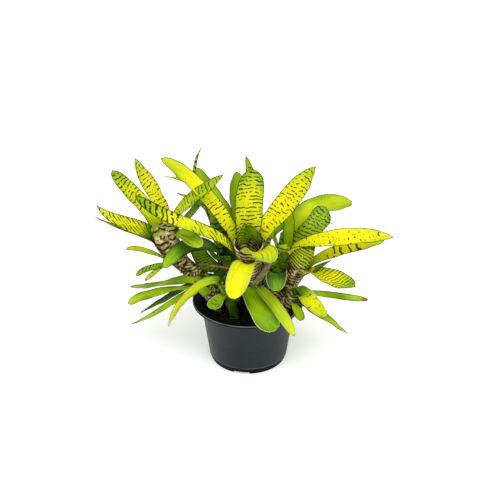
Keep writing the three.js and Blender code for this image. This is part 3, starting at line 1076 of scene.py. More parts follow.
    def teeth(self) -> list[tuple[Matrix, float]]:
        """Find where the margin's teeth stand.

        Returns:
            A turn, size and place for each tooth, and how pale it is.
        """
        leaf = self.leaf
        size = lerp(*self.TOOTH_SIZES, smoothstep((leaf.width - 10) / 22))
        count = int(self.line.length / self.TOOTH_PITCH)
        places = []
        for k in range(2, count - 1):
            along = (k + self.random.uniform(-0.25, 0.25)) / count
            section = self.blade_section(along)
            forward = self.line.direction(along)
            for side in (-1.0, 1.0):
                level_part = section.across * (side * math.cos(self.CHANNEL))
                outward = level_part + section.upper * math.sin(self.CHANNEL)
                point = (outward * 0.8 + forward * 0.6).normalized()
                turn = point.to_track_quat("Z", "Y").to_matrix().to_4x4()
                place = Matrix.Translation(section.at(side, self.ripple(section, side)) * MM)
                scale = Matrix.Scale(size * self.random.uniform(0.7, 1.15) * MM, 4)
                places.append((place @ turn @ scale, leaf.pale))
        turn = self.line.direction(1.0).to_track_quat("Z", "Y").to_matrix().to_4x4()
        spine = Matrix.Translation(self.line.at(0.995) * MM) @ turn @ Matrix.Scale(self.SPINE * size * MM, 4)
        return [*places, (spine, 0.0)]


# ---------------------------------------------------------------- rosettes


@dataclass
class Rosette:
    """A tank rosette: stem, funnel with an open cup, and the leaves round it."""

    RIM_AT = 0.68  # share of the tube's rows
    TUBE_COLUMNS = 56
    TUBE_ROWS = 90
    RIDGE = 0.22
    RIM_WAVE = 0.8
    HEART_SIDES = (68, 132, 250)
    OLD_LEAF_HEIGHT = 11.0

    name: str
    foot: tuple[float, float]
    mouth: Triple
    lean: tuple[float, float]
    stem: float
    neck: float
    cup: float
    funnel: float
    leaves: list[Leaf]
    slot: str = "green_leaf"
    tone: Tone = Tone.GREEN
    marking: Marking = Marking.HEAVY
    rise: float = 12.0  # how far the rim stands up in front
    sunk: float = 0.0  # how far the rim lies under the mouth all round
    husk: float = 0.0  # how much further up the brown of the sheaths reaches
    husks: int = 5
    hearts: tuple[float, ...] = (6.0, 3.0, 1.0)
    heart_tone: Tone = Tone.GREEN
    surface_height: float = 72.0
    foot_height: float = 52.0
    wall: float = 1.4
    seam: float = 0.0  # how far round from the front the middle of the markings lies, in turns
    seed: int = 1
    line: Bend = field(init=False)

    def __post_init__(self) -> None:
        """Find the stem's middle line."""
        foot = Vector((*self.foot, self.surface_height))
        mouth = Vector(self.mouth)
        facing = Vector((*self.lean, 1.0)).normalized()
        span = (mouth - foot).length
        self.line = Bend(foot, foot + UP * (span * 0.3), mouth - facing * (span * 0.4), mouth)

    def axis(self, below: float) -> Vector:
        """The funnel's axis at a depth under the mouth."""
        return self.line.direction(1 - below / self.line.length)

    def point(self, below: float) -> Vector:
        """The middle of the funnel at a depth under the mouth, or above it if the depth is negative."""
        return self.line.at(1 - below / self.line.length) + self.axis(below) * max(-below, 0.0)

    def radius(self, below: float) -> float:
        """The funnel's outer radius at a depth under the mouth."""
        return lerp(self.neck, self.cup, smoothstep(1 - below / self.funnel))

    def brown(self, below: float) -> float:
        """How brown the sheaths are at a depth under the mouth."""
        return smoothstep((max(below, 0.0) / self.funnel - 0.05) / 0.5 + self.husk)

    def tube_profile(self, along: float) -> Triple:
        """The stem and cup's outline, from the stem's foot over the rim and down to the cup's floor.

        Args:
            along: share of the way.

        Returns:
            The depth under the mouth, the radius, and how far inside the cup it is, 0 or more.
        """
        buried = self.line.length + self.surface_height - self.foot_height
        if along <= self.RIM_AT:
            below = buried * (1 - along / self.RIM_AT)
            under = below - self.funnel
            ridge = self.RIDGE * math.sin(below * 1.15) * smoothstep(under / 10)
            stem_radius = lerp(self.neck, self.stem, smoothstep(under / (self.line.length - self.funnel + 1)))
            radius = self.radius(below) if under < 0 else stem_radius
            return below, (radius + ridge) * (0.0 if along == 0 else 1.0), 0.0
        inside = (along - self.RIM_AT) / (1 - self.RIM_AT)
        depth = self.funnel * 0.5 * inside
        narrowing = math.sqrt(max(1 - max((inside - 0.7) / 0.3, 0.0) ** 2, 0.0))
        return depth, (self.radius(depth) - self.wall) * narrowing, inside

    def tube(self) -> Piece:
        """Make the stem, the funnel and its open cup, one closed skin with a rim that is high in front.

        Returns:
            The skin.
        """
        offset = self.seed * 17.3

        def spot(u: float, v: float) -> Spot:
            """Find one corner of the stem or funnel.

            Args:
                u: share of the way across or round.
                v: share of the way along.

            Returns:
                Its place and what the finish needs.
            """
            along = round(v * self.TUBE_ROWS) / self.TUBE_ROWS
            below, radius, inside = self.tube_profile(along)
            angle = 2 * math.pi * u + math.pi / 2
            near_rim = smoothstep(1 - below / (self.funnel * 0.5)) if below < self.funnel * 0.5 else 0.0
            front = max(-math.sin(angle), -0.4)
            lift = self.rise * front - self.sunk + self.RIM_WAVE * math.sin(3 * angle + self.seed)
            raised = below - lift * near_rim
            if below > self.line.length:
                centre = self.point(self.line.length) - UP * (below - self.line.length)
                axis = UP
            else:
                centre, axis = self.point(raised), self.axis(max(raised, 0.0))
            side = (Vector((1, 0, 0)) - axis * axis.x).normalized()
            other = axis.cross(side)
            round_it = (abs((u + self.seam) % 1.0 - 0.5) - 0.25) * 2 * math.pi * radius
            along_mm = self.line.length - raised
            sheath = min(self.brown(raised) + 0.8 * smoothstep(inside * 3), 1.0)
            return Spot(
                point=centre + side * (radius * math.cos(angle)) + other * (radius * math.sin(angle)),
                place=((u - 0.5) * 2 * math.pi * max(radius, 1.0), along_mm, offset),
                share=(0.0, 0.0, sheath),
                mark=self.marking.at(round_it * 0.6, along_mm, 1.0, sheath),
                # painted shade deep inside the cup
                trim=(0.0, 0.0, 0.3 * smoothstep(inside * 1.4)),
                tone=(self.tone.value, self.marking.bold_at(sheath), 0.3),
            )

        piece = skin("tube", self.TUBE_COLUMNS, self.TUBE_ROWS, spot)
        seal(piece)
        return piece

    def heart(self) -> list[Leaf]:
        """The young leaves that stand in the cup.

        Returns:
            The leaves.
        """
        return [
            Leaf(
                toward=self.HEART_SIDES[k % 3],
                reach=self.cup * (0.3 + 0.2 * k / len(self.hearts)),
                lift=height,
                width=self.cup * (1.55 - 0.25 * k),
                form=Form.TAPER,
                below=self.cup * 0.75,
                arch=0.0,
                shoulder=0.4,
                tone=self.heart_tone,
                foot=Tone.OLIVE,
                marking=Marking.FINE,
                nest=0.72 - 0.12 * k,
                # a little painted shade
                shade=0.08,
            )
            for k, height in enumerate(self.hearts)
        ]

    def old_leaf(self, heading: float, below: float) -> Leaf:
        """The dried base of a leaf that has gone, close to the stem.

        Args:
            heading: the side of the stem that it is on, in degrees.
            below: how deep under the mouth it starts.

        Returns:
            The leaf.
        """
        clear = level(heading) * (self.radius(below) + 1.2)
        tip = self.point(below - self.OLD_LEAF_HEIGHT) + clear - Vector(self.mouth)
        toward = math.degrees(math.atan2(tip.y, tip.x))
        return Leaf(
            toward=toward,
            reach=math.hypot(tip.x, tip.y),
            lift=tip.z,
            width=self.neck * 2.1,
            form=Form.STRAP,
            below=below,
            arch=0.0,
            shoulder=0.4,
            turn=heading - toward,
            tone=Tone.OLIVE,
            marking=Marking.CHEVRON,
            husk=1.0,
        )

    def old_leaves(self) -> list[Leaf]:
        """The old leaf bases round the foot of the funnel.

        Returns:
            The leaves.
        """
        draw = random.Random(self.seed + 40)
        lowest = self.line.length - 20
        leaves = []
        for k in range(self.husks):
            heading = -90 + 360 * (k + draw.uniform(-0.2, 0.2)) / self.husks
            leaves.append(self.old_leaf(heading, lerp(lowest * 0.55, lowest, draw.random())))
        return leaves

    def build(self, leaf_material: Material, tooth_material: Material) -> None:
        """Make the rosette's leaves, funnel and teeth, dress them and attach them to the root body.

        Args:
            leaf_material: the finish of leaves and funnel.
            tooth_material: the finish of the margins' teeth.
        """
        outer = sorted(self.leaves, key=lambda leaf: leaf.below)
        blades = [Blade(self, leaf, rank, self.seed * 100 + rank) for rank, leaf in enumerate(outer)]
        extra = [*self.heart(), *self.old_leaves()]
        others = [Blade(self, leaf, k, self.seed * 100 + 50 + k) for k, leaf in enumerate(extra)]
        leaves = join([blade.build() for blade in [*blades, *others]], f"{self.name}_leaves")
        funnel = join([self.tube()], f"{self.name}_funnel")
        teeth = Teeth().build([tooth for blade in blades for tooth in blade.teeth()], f"{self.name}_teeth")
        for piece, material in ((leaves, leaf_material), (funnel, leaf_material), (teeth, tooth_material)):
            piece.data.materials.append(material)
            hand_over(piece, self.slot, self.name)
        smooth(leaves)
        smooth(funnel, 60.0)


@dataclass
class Teeth:
    """The small hooked teeth along the leaves' margins."""

    radius: float = 0.42
    height: float = 1.35
    sides: int = 4

    def model(self) -> bpy.types.Mesh:
        """Make one tooth, a slim cone.

        Returns:
            Its mesh, about one unit high.
        """
        tooth = primitive(
            bpy.ops.mesh.primitive_cone_add,
            vertices=self.sides,
            radius1=self.radius,
            depth=self.height,
            location=(0.0, 0.0, self.height * 0.4),
        )
        mesh = tooth.data.copy()
        bpy.data.objects.remove(tooth, do_unlink=True)
        return mesh

    def build(self, places: Sequence[tuple[Matrix, float]], name: str) -> Piece:
        """Copy the tooth to each place.

        Args:
            places: the teeth's turns and places, and how pale each is.
            name: the piece's name.

        Returns:
            All the teeth as one piece.
        """
        tooth = self.model()
        piece = copies(name, [(tooth, matrix) for matrix, _ in places])
        store(piece, "trim", [(0.0, pale, 0.0) for _, pale in places for _ in tooth.vertices])
        return piece


def hand_over(piece: Piece, slot: str, *nodes: str) -> None:
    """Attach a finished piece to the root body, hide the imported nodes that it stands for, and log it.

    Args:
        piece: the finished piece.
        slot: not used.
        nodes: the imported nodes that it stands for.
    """
    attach(piece, BODY)
    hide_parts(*nodes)
    LOG.info("%s: %d faces", piece.name, len(piece.data.polygons))


# ---------------------------------------------------------------- stalk and runner


@dataclass
class Fibre:
    """A thin stalk or runner along four control points."""

    COLUMNS = 10
    ROWS = 60

    name: str
    points: list[Triple]
    base_radius: float
    tip_radius: float

    def build(self, material: Material) -> Piece:
        """Make the fibre as a closed tube, knotted along its length.

        Args:
            material: its finish.

        Returns:
            The fibre.
        """
        line = Bend(*[Vector(point) for point in self.points])

        def spot(u: float, v: float) -> Spot:
            """Find one corner of the fibre.

            Args:
                u: share of the way across or round.
                v: share of the way along.

            Returns:
                Its place and what the finish needs.
            """
            along = round(v * self.ROWS) / self.ROWS
            direction = line.direction(along)
            side = (UP - direction * direction.z).normalized()
            other = direction.cross(side)
            knots = 1 + 0.22 * max(math.sin(along * 26), 0.0) ** 6
            closed = along in (0.0, 1.0)
            radius = 0.0 if closed else lerp(self.base_radius, self.tip_radius, along) * knots
            angle = 2 * math.pi * u
            return Spot(
                point=line.at(along) + side * (radius * math.cos(angle)) + other * (radius * math.sin(angle)),
                place=(angle * self.base_radius, line.length * along, 0.0),
                share=(0.0, along, 0.0),
            )

        piece = join([skin("fibre", self.COLUMNS, self.ROWS, spot)], self.name)
        seal(piece)
        piece.data.materials.append(material)
        smooth(piece, 60.0)
        return piece


# ---------------------------------------------------------------- pot and potting mix


@dataclass
class NurseryPot:
    """The round, tapered nursery pot with a flanged rim and a recessed foot."""

    rim_radius: float = 76.0
    height: float = 90.0
    wall_top_radius: float = 65.5
    wall_foot_radius: float = 54.5
    wall: float = 2.0
    rim_lip: float = 3.4
    foot_height: float = 5.0
    foot_radius: float = 52.6
    foot_ring: float = 5.0
    floor_height: float = 6.0
    pad_radius: float = 13.0
    pad_recess: float = 3.0
    notches: int = 3
    notch_width: float = 22.0
    notch_height: float = 2.4
    first_notch: float = -10.0  # degrees round from the front
    edge_round: float = 0.35
    sides: int = 144

    def wall_radius(self, height: float) -> float:
        """The outside of the wall at a height."""
        share = (height - self.foot_height) / (self.height - self.foot_height)
        return lerp(self.wall_foot_radius, self.wall_top_radius, share)

    def profile(self) -> list[tuple[float, float]]:
        """The outline after the pad.

        Returns:
            Radius and height, out and up, over the rim and down inside.
        """
        foot, top, lip = self.foot_height, self.height, self.height - self.rim_lip
        inner = self.wall_radius(self.floor_height) - self.wall
        return [
            (self.pad_radius + 2, self.pad_recess),
            (self.foot_radius - self.foot_ring, self.pad_recess),
            (self.foot_radius - self.foot_ring + 0.5, 0.0),
            (self.foot_radius, 0.0),
            (self.foot_radius, foot),
            (self.wall_foot_radius - 0.6, foot),
            (self.wall_foot_radius, foot + 0.6),
            *((self.wall_radius(foot + up), foot + up) for up in (3.8, 4.2, 5.0, 5.4)),
            (self.wall_radius(self.height * 0.4), self.height * 0.4),
            (self.wall_radius(top - 2.2), top - 2.2),
            (self.rim_radius - 2, top - 2.2),
            (self.rim_radius - 1.8, lip),
            (self.rim_radius, lip),
            (self.rim_radius, lip + 0.9),
            (self.rim_radius, top - 1.6),
            (self.rim_radius, top - 0.9),
            (self.rim_radius - 0.9, top),
            (self.wall_radius(top) + 2, top),
            (self.wall_radius(top) - self.wall + 1, top - 1.5),
            (self.wall_radius(top - 4) - self.wall, top - 5),
            (inner, self.floor_height + 3),
            (inner - 3, self.floor_height),
        ]

    def turned(self) -> Piece:
        """Draw the pot up from its pad, ring by ring.

        Returns:
            The pot with sharp edges.
        """
        circle = bpy.ops.mesh.primitive_circle_add
        pot = primitive(circle, vertices=self.sides, radius=self.pad_radius * MM, fill_type="TRIFAN")
        edit(pot, "EDGE", "SELECT")
        bpy.ops.mesh.region_to_loop()
        radius, height = self.pad_radius, 0.0
        for next_radius, next_height in self.profile():
            move = (0.0, 0.0, (next_height - height) * MM)
            bpy.ops.mesh.extrude_region_move(TRANSFORM_OT_translate={"value": move})
            ratio = next_radius / radius
            bpy.ops.transform.resize(value=(ratio, ratio, 1.0), center_override=(0.0, 0.0, 0.0))
            radius, height = next_radius, next_height
        bpy.ops.mesh.extrude_region_move()
        bpy.ops.mesh.merge(type="CENTER")
        bpy.ops.mesh.select_all(action="SELECT")
        bpy.ops.mesh.normals_make_consistent(inside=False)
        leave_edit()
        return pot

    def zone(self, point: Vector) -> Triple:
        """Where the plastic gets painted highlight lines and painted shade.

        Args:
            point: a point on the pot, in millimetres.

        Returns:
            Painted highlight and painted shade, each from 0 to 1, and a zero.
        """
        radius, height = math.hypot(point.x, point.y), point.z
        at_rim = radius > self.rim_radius - 1.0 and height > self.height - 1.2
        at_lip = radius > self.rim_radius - 0.6 and height < self.height - self.rim_lip + 0.5
        at_foot = self.foot_height + 4.0 < height < self.foot_height + 5.2
        inside = radius < self.wall_radius(height) - self.wall * 0.5
        on_flange = height > self.height - 0.2 and radius < self.rim_radius - 1.2
        on_rim = radius > self.rim_radius - 0.3 and not at_rim and not at_lip
        # painted shade inside the pot, on the flange and round the foot; the rim's face gets some
        painted_shade = inside or on_flange or height < self.foot_height + 3.9
        # painted highlight lines on the rim, the lip and just above the dark foot band
        painted_highlight = 0.4 if at_rim else 0.3 if at_foot else 0.15 if at_lip else 0.0
        return (0.0 if inside else painted_highlight, 1.0 if painted_shade else 0.6 if on_rim else 0.0, 0.0)

    def cut_notches(self, pot: Piece) -> None:
        """Cut the drainage notches out of the foot ring.

        Args:
            pot: the pot to cut.
        """
        for k in range(self.notches):
            turn = math.radians(self.first_notch + 360 * k / self.notches)
            place = Matrix.Rotation(turn, 3, "Z") @ Vector((0.0, -self.foot_radius * MM, 0.0))
            size = (self.notch_width * MM, self.foot_ring * 3 * MM, self.notch_height * 2 * MM)
            cube = bpy.ops.mesh.primitive_cube_add
            cutter = primitive(cube, size, size=1.0, location=place, rotation=(0.0, 0.0, turn))
            apply_modifier(cutter, "BEVEL", width=1.0 * MM, segments=3, limit_method="ANGLE")
            apply_modifier(pot, "BOOLEAN", operation="DIFFERENCE", object=cutter, solver="EXACT")
            bpy.data.objects.remove(cutter, do_unlink=True)

    def build(self, material: Material, painted_shade_material: Material) -> None:
        """Make the pot, soften its edges and dress it.

        Args:
            material: its finish.
            painted_shade_material: the duller, near-black finish that paints shade inside, on the flange, the
                rim's face and the foot.
        """
        pot = join([self.turned()], "nursery_pot")
        limit = {"limit_method": "ANGLE", "angle_limit": math.radians(35)}
        apply_modifier(pot, "BEVEL", width=self.edge_round * MM, segments=2, **limit)
        self.cut_notches(pot)
        store(pot, "zone", [self.zone(vertex.co / MM) for vertex in pot.data.vertices])
        for finish in (material, painted_shade_material):
            pot.data.materials.append(finish)
        # faces with painted shade take the second, duller finish
        for face in pot.data.polygons:
            face.material_index = int(self.zone(face.center / MM)[1] > 0.5)
        smooth(pot, 30.0)
        hand_over(pot, "pot", "pot")


@dataclass
class PottingMix:
    """Bark mix that fills the pot to below its rim, with loose chips on top."""

    surface_height: float = 72.0
    floor_height: float = 6.3
    top_radius: float = 60.5
    floor_radius: float = 49.0
    sides: int = 96
    rings: int = 14
    lump_size: float = 11.0
    lump_height: float = 5.0
    shapes: int = 4
    chips: int = 420
    chip_size: tuple[float, float] = (3.5, 11.0)
    seed: int = 5

    def bed(self) -> Piece:
        """Make the body of the mix, with a lumpy top.

        Returns:
            The body.
        """
        bed = primitive(
            bpy.ops.mesh.primitive_cone_add,
            vertices=self.sides,
            radius1=self.floor_radius * MM,
            radius2=self.top_radius * MM,
            depth=(self.surface_height - self.floor_height) * MM,
            location=(0.0, 0.0, (self.surface_height + self.floor_height) / 2 * MM),
            end_fill_type="NGON",
        )
        edit(bed, "FACE")
        leave_edit()
        for face in bed.data.polygons:
            face.select = face.normal.z > 0.9
        bpy.ops.object.mode_set(mode="EDIT")
        for _ in range(self.rings):
            bpy.ops.mesh.inset(thickness=self.top_radius / (self.rings + 0.6) * MM)
        bpy.ops.mesh.poke()
        leave_edit()
        group = bed.vertex_groups.new(name="top")
        top = [v.index for v in bed.data.vertices if v.co.z > (self.surface_height - 1) * MM]
        group.add(top, 1.0, "REPLACE")
        lumps = bpy.data.textures.new("lumps", "CLOUDS")
        lumps.noise_scale = self.lump_size * MM
        amount = {"strength": self.lump_height * MM, "mid_level": 0.5}
        apply_modifier(bed, "DISPLACE", texture=lumps, vertex_group="top", direction="Z", **amount)
        return bed

    def chip_shapes(self, draw: random.Random) -> list[Piece]:
        """Model a few bark chips, split at odd angles.

        Args:
            draw: gives each shape its own cuts.

        Returns:
            The shapes, each about one unit long.
        """
        shapes = []
        for _ in range(self.shapes):
            size = (1.0, draw.uniform(0.5, 0.8), draw.uniform(0.25, 0.45))
            chip = primitive(bpy.ops.mesh.primitive_cube_add, size, size=1.0)
            for _ in range(3):
                edit(chip, action="SELECT")
                normal = Vector([draw.uniform(-1, 1) for _ in range(3)]).normalized()
                bpy.ops.mesh.bisect(plane_co=normal * 0.3, plane_no=normal, use_fill=True, clear_outer=True)
                leave_edit()
            apply_modifier(chip, "BEVEL", width=0.05, segments=1)
            shapes.append(chip)
        return shapes

    def scatter(self) -> Piece:
        """Lay copies of the chips over the bed.

        Returns:
            All the chips as one piece.
        """
        draw = random.Random(self.seed)
        shapes = self.chip_shapes(draw)
        placed = []
        for _ in range(self.chips):
            shape = draw.choice(shapes).data
            radius = (self.top_radius - 5) * math.sqrt(draw.random())
            middle = level(draw.uniform(0, 360)) * radius + UP * (self.surface_height + draw.uniform(-1, 1.6))
            turn = Matrix.Rotation(draw.uniform(0, 2 * math.pi), 4, "Z")
            tilt = Matrix.Rotation(draw.uniform(-0.6, 0.6), 4, "X")
            size = Matrix.Scale(draw.uniform(*self.chip_size) * MM, 4)
            placed.append((shape, Matrix.Translation(middle * MM) @ turn @ tilt @ size))
        chips = copies("bark_chips", placed)
        for shape in shapes:
            bpy.data.objects.remove(shape, do_unlink=True)
        return chips

    def build(self, material: Material) -> None:
        """Make the bed and the chips and dress them.

        Args:
            material: their finish.
        """
        for piece in (join([self.bed()], "mix_bed"), self.scatter()):
            piece.data.materials.append(material)
            hand_over(piece, "potting_mix", "potting_mix")


# ---------------------------------------------------------------- the plants


def rosettes() -> list[Rosette]:
    """Every rosette of the clump, front ones first.

    Returns:
        The rosettes. In each leaf's row stand where its tip is (toward, reach and lift), its width and form,
        below, arch, shoulder, turn, roll, sway, tone and marking.
    """
    lance, oval, strap, taper = Form
    plain, flecked, sparse, ringed, barred, fine, oblique, heavy, *others = Marking
    chevron, dashed, slashed, dense, hooped = others
    deep, olive, green, fresh, lime, yellow, bright = Tone
    return [
        Rosette(
            "mother_rosette", (8, -2), (0.5, -22, 186), (-0.05, -0.3), 10.5, 11, 19.5, 66,
            slot="banded_leaf", tone=green, marking=barred, rise=-2, sunk=4, husk=0.75, hearts=(19.0, 21.0),
            seed=1,
            leaves=[
                Leaf(80, 32, 84, 39, strap, 13, -4, 0.32, 11, 22, 5, yellow, barred, tip=fresh),
                Leaf(15, 86, 90, 40, lance, 13, -3, 0.14, 18, -4, 2, bright, ringed, tip=lime),
                Leaf(156, 122, 92, 26, strap, 17, 19, 0.3, -6, 2, -8, bright, ringed, foot=lime, tip=lime,
                     banded=(-0.3, 0.5)),
                Leaf(-173, 137, 67, 16, strap, 30, -15, 0.37, -7, -45, 0, yellow, dashed, foot=lime,
                     tip=green, tip_marking=heavy, banded=(0.58, 0.5)),
                Leaf(-61, 42, -13, 34, strap, 10, 16, 0.27, -19, 0, 12, yellow, plain, foot=lime, tip=lime,
                     streaks=1.0, pale=0.6),
                Leaf(-108, 64, -51, 29, oval, 34, 39, 0.28, 16, -18, 3, bright, plain, foot=fresh,
                     streaks=0.4, pale=0.7),
                Leaf(-55, 65, -99, 34, oval, 72, 13, 0.08, -65, -40, -22, green, plain, pale=0.8),
                Leaf(-51, 90, -98, 15, strap, 74, 21, 0.12, -25, 9, -2, fresh, plain, foot=green, tip=lime,
                     pale=0.6),
            ],
        ),
        Rosette(
            "upper_left_rosette", (-45, 17), (-110, 0, 190), (-0.14, 0.05), 9.5, 10, 16, 62,
            slot="banded_leaf", tone=green, marking=heavy, husk=0.65, seed=2,
            leaves=[
                Leaf(164, 65, 75, 25, strap, -2, 5, 0.33, -24, 4, 9, yellow, barred, foot=fresh, tip=fresh,
                     banded=(0.3, 1.0)),
                Leaf(135, 51, 85, 26, lance, 0, -2, 0.37, -60, -15, -3, bright, ringed, tip=lime),
                Leaf(-179, 83, 35, 25, taper, 13, -8, 0.3, -15, -16, 13, yellow, oblique, foot=olive),
                Leaf(173, 90, 14, 10, taper, 13, 6, 0.12, 23, -12, 16, fresh, sparse),
                Leaf(-9, 80, 80, 21, lance, 5, 3, 0.31, 38, 14, 0, lime, ringed, tip=fresh),
                Leaf(5, 54, 43, 15, strap, 6, -1, 0.07, 3, 19, -2, fresh, sparse),
                Leaf(-37, 63, -7, 21, oval, 8, 7, 0.21, 12, 16, 4, fresh, plain, foot=green, tip=lime,
                     streaks=1.0, pale=0.7),
                Leaf(-161, 50, -20, 9, strap, 40, 8, 0.11, -3, -26, -9, lime, sparse, foot=yellow,
                     banded=(-0.3, 0.4)),
                Leaf(-150, 42, -56, 12, strap, 45, 7, 0.07, 7, -23, -4, fresh, fine),
                Leaf(-131, 36, -60, 8, strap, 40, -1, 0.06, -5, -23, -5, lime, sparse),
            ],
        ),
        Rosette(
            "right_rosette", (46, 9), (71.5, 9, 154.6), (0.17, 0.08), 9, 10.5, 17, 58, slot="banded_leaf",
            tone=lime, marking=dense, husk=0.15, seam=0.2, seed=3,
            leaves=[
                Leaf(-4, 107, 20, 18, strap, 25, 9, 0.28, 14, 26, -2, bright, hooped, foot=lime, tip=lime,
                     banded=(0.3, 0.8)),
                Leaf(40, 42, 52, 46, strap, -6, 6, 0.25, 42, 46, -2, fresh, barred, tip=green),
                Leaf(-37, 82, -26, 34, oval, 28, -2, 0.26, -6, 22, 3, yellow, slashed, tip=fresh),
                Leaf(-24, 41, -5, 16, taper, 30, 0, 0.06, 12, 9, -4, green, barred),
                Leaf(138, 28, 8, 18, lance, 8, 8, 0.3, 0, 0, 0, fresh, sparse),
            ],
        ),
        Rosette(
            "inner_right_rosette", (28, 7), (45.6, -1, 163.4), (0.1, -0.05), 6.5, 7.5, 9, 46,
            slot="banded_leaf", tone=lime, marking=barred, seed=4,
            leaves=[
                Leaf(-8, 140, 26, 28, lance, 8, 17, 0.17, -8, 26, -5, bright, flecked, foot=yellow,
                     tip=yellow),
                Leaf(55, 18, 45, 16, strap, 12, -12, 0.22, -30, 37, 4, fresh, plain),
                Leaf(165, 22, 34, 16, lance, 4, 6, 0.3, 0, 0, 0, fresh, sparse),
            ],
        ),
        Rosette(
            "lower_right_rosette", (45, -21), (62, -22, 112), (0.3, -0.2), 6.5, 7, 10.5, 30, husk=0.15,
            rise=0, sunk=3, hearts=(2.0,), seed=5,
            leaves=[
                Leaf(-28, 45, -18, 27, strap, 3, 5, 0.21, 22, 11, -25, yellow, flecked, foot=fresh, tip=lime,
                     pale=0.6),
                Leaf(-38, 81, -33, 23, taper, 17, 10, 0.14, 10, 6, -8, green, plain, tip=fresh, shade=0.2),
                Leaf(-86, 51, -14, 14, strap, 15, -2, 0.11, 0, 21, 5, fresh, plain),
                Leaf(1, 98, -15, 10, strap, 2, 2, 0.08, -4, 23, -3, fresh, plain, dry_tip=1),
            ],
        ),
        Rosette(
            "front_right_pup", (30, -12), (39, -29, 150), (0.05, -0.35), 5.5, 6, 12, 34, tone=olive,
            marking=fine, rise=-1, sunk=5, hearts=(17.0, 12.0, 8.0), seed=6,
            leaves=[
                Leaf(-94, 47, -8, 26, oval, 7, 26, 0.4, -2, 9, -3, deep, plain, foot=deep, tip=green,
                     pale=0.5),
                Leaf(60, 20, 14, 14, oval, 3, 4, 0.3, 0, 0, 0, olive, plain),
            ],
        ),
        Rosette(
            "front_left_pup", (-19, -27), (-32, -34, 134), (-0.2, -0.2), 5.5, 6, 8, 36, tone=olive,
            marking=chevron, rise=0, husk=-3.0, husks=0, seed=7,
            leaves=[
                Leaf(-161, 75, -53, 20, strap, 6, 34, 0.17, -20, -5, -3, yellow, plain, foot=fresh, streaks=1,
                     pale=0.2),
                Leaf(-112, 33, -25, 18, oval, 23, -3, 0.18, -12, -20, -9, fresh, flecked, pale=0.8),
                Leaf(-74, 36, -18, 13, strap, 28, 2, 0.15, 0, 0, 0, olive, plain, shade=0.5),
            ],
        ),
        Rosette(
            "lower_left_rosette", (-43, -6), (-57, -13, 114), (-0.5, -0.1), 6.5, 7, 10.5, 30, tone=fresh,
            marking=chevron, husk=0.3, rise=2, hearts=(20.0, 16.0, 8.0), seed=8,
            leaves=[
                Leaf(-172, 103, -18, 22, strap, -2, 13, 0.09, 48, -15, 0, fresh, plain),
                Leaf(169, 105, -11, 19, strap, -4, 3, 0.18, -26, 22, 23, fresh, plain),
                Leaf(-170, 88, -32, 16, taper, -6, -2, 0.11, -2, -4, -5, olive, plain),
                Leaf(-159, 102, -36, 11, taper, -1, -3, 0.1, -9, -19, 8, fresh, plain, dry_tip=0.8),
            ],
        ),
        # painted shade: the deep and olive tones here, and the first leaf's fresh tip, stand in for the shade
        # under the mother's leaves
        Rosette(
            "shaded_left_rosette", (-21, 12), (-24, 15, 150), (-0.25, -0.1), 8, 9, 14, 52, tone=deep,
            marking=fine, hearts=(25.0, 22.0, 12.0), heart_tone=olive, seed=9,
            leaves=[
                Leaf(-151, 96, 1, 22, strap, 10, 42, 0.45, -10, -34, 0, olive, plain, tip=fresh),
                Leaf(-192, 51, 13, 24, strap, 30, -25, 0.06, 9, -47, 16, green, fine, foot=olive),
                Leaf(-168, 35, 15, 10, taper, 16, -6, 0.11, -1, -33, -4, fresh, plain),
                Leaf(-112, 28, 4, 18, oval, 8, 12, 0.2, 0, 0, 0, olive, flecked),
                Leaf(-135, 36, -33, 17, strap, 22, 4, 0.1, 0, 0, 0, olive, fine),
            ],
        ),
        Rosette(
            "back_left_rosette", (-30, 35), (-40, 52, 176), (-0.1, 0.05), 7, 8, 12, 52, tone=olive,
            husk=-1.0, husks=2, seed=10,
            leaves=[
                Leaf(130, 37, 99, 12, taper, 2, 0, 0.25, 40, 55, 38, fresh, heavy),
                Leaf(146, 96, 49, 14, taper, -6, 28, 0.59, 4, 7, 20, lime, sparse),
                Leaf(-176, 56, 47, 11, taper, -5, 3, 0.43, -29, -1, -6, lime, sparse),
                Leaf(110, 80, 20, 24, lance, 10, 22, 0.3, 0, 0, 0, green, flecked),
            ],
        ),
        Rosette(
            "back_rosette", (-4, 38), (-8, 56, 174), (0, 0.1), 7, 8, 13, 52, tone=green, seed=11,
            leaves=[
                Leaf(126, 14, 72, 24, strap, -6, 1, 0.32, 18, -13, 0, fresh, plain),
                Leaf(61, 10, 95, 16, lance, -6, -4, 0.32, -11, 8, -15, lime, sparse),
                Leaf(177, 63, 80, 23, strap, 7, -4, 0.21, -16, -15, -4, fresh, plain),
                Leaf(95, 84, 30, 24, lance, 10, 22, 0.3, 0, 0, 0, fresh, sparse),
            ],
        ),
        Rosette(
            "back_right_rosette", (36, 34), (56, 46, 162), (0.2, 0.1), 7, 8, 12, 50, tone=green, seed=12,
            leaves=[
                Leaf(19, 93, 37, 41, strap, -6, 11, 0.49, 5, 12, 1, lime, plain),
                Leaf(82, 80, 16, 24, lance, 10, 22, 0.3, 0, 0, 0, green, sparse),
                Leaf(38, 84, -6, 20, strap, 16, 22, 0.3, 0, 0, 0, green, sparse),
            ],
        ),
        Rosette(
            "rear_rosette", (16, 46), (20, 74, 140), (0.1, 0.4), 6.5, 7, 12, 36, tone=olive, seed=13,
            leaves=[
                Leaf(90, 70, 10, 22, lance, 6, 18, 0.3, 0, 0, 0, green, flecked),
                Leaf(54, 74, 15, 15, strap, 3, 5, 0.22, -12, 12, -15, green, plain),
                Leaf(140, 76, -6, 20, strap, 8, 20, 0.3, 0, 0, 0, green, plain),
            ],
        ),
    ]


# ---------------------------------------------------------------- studio


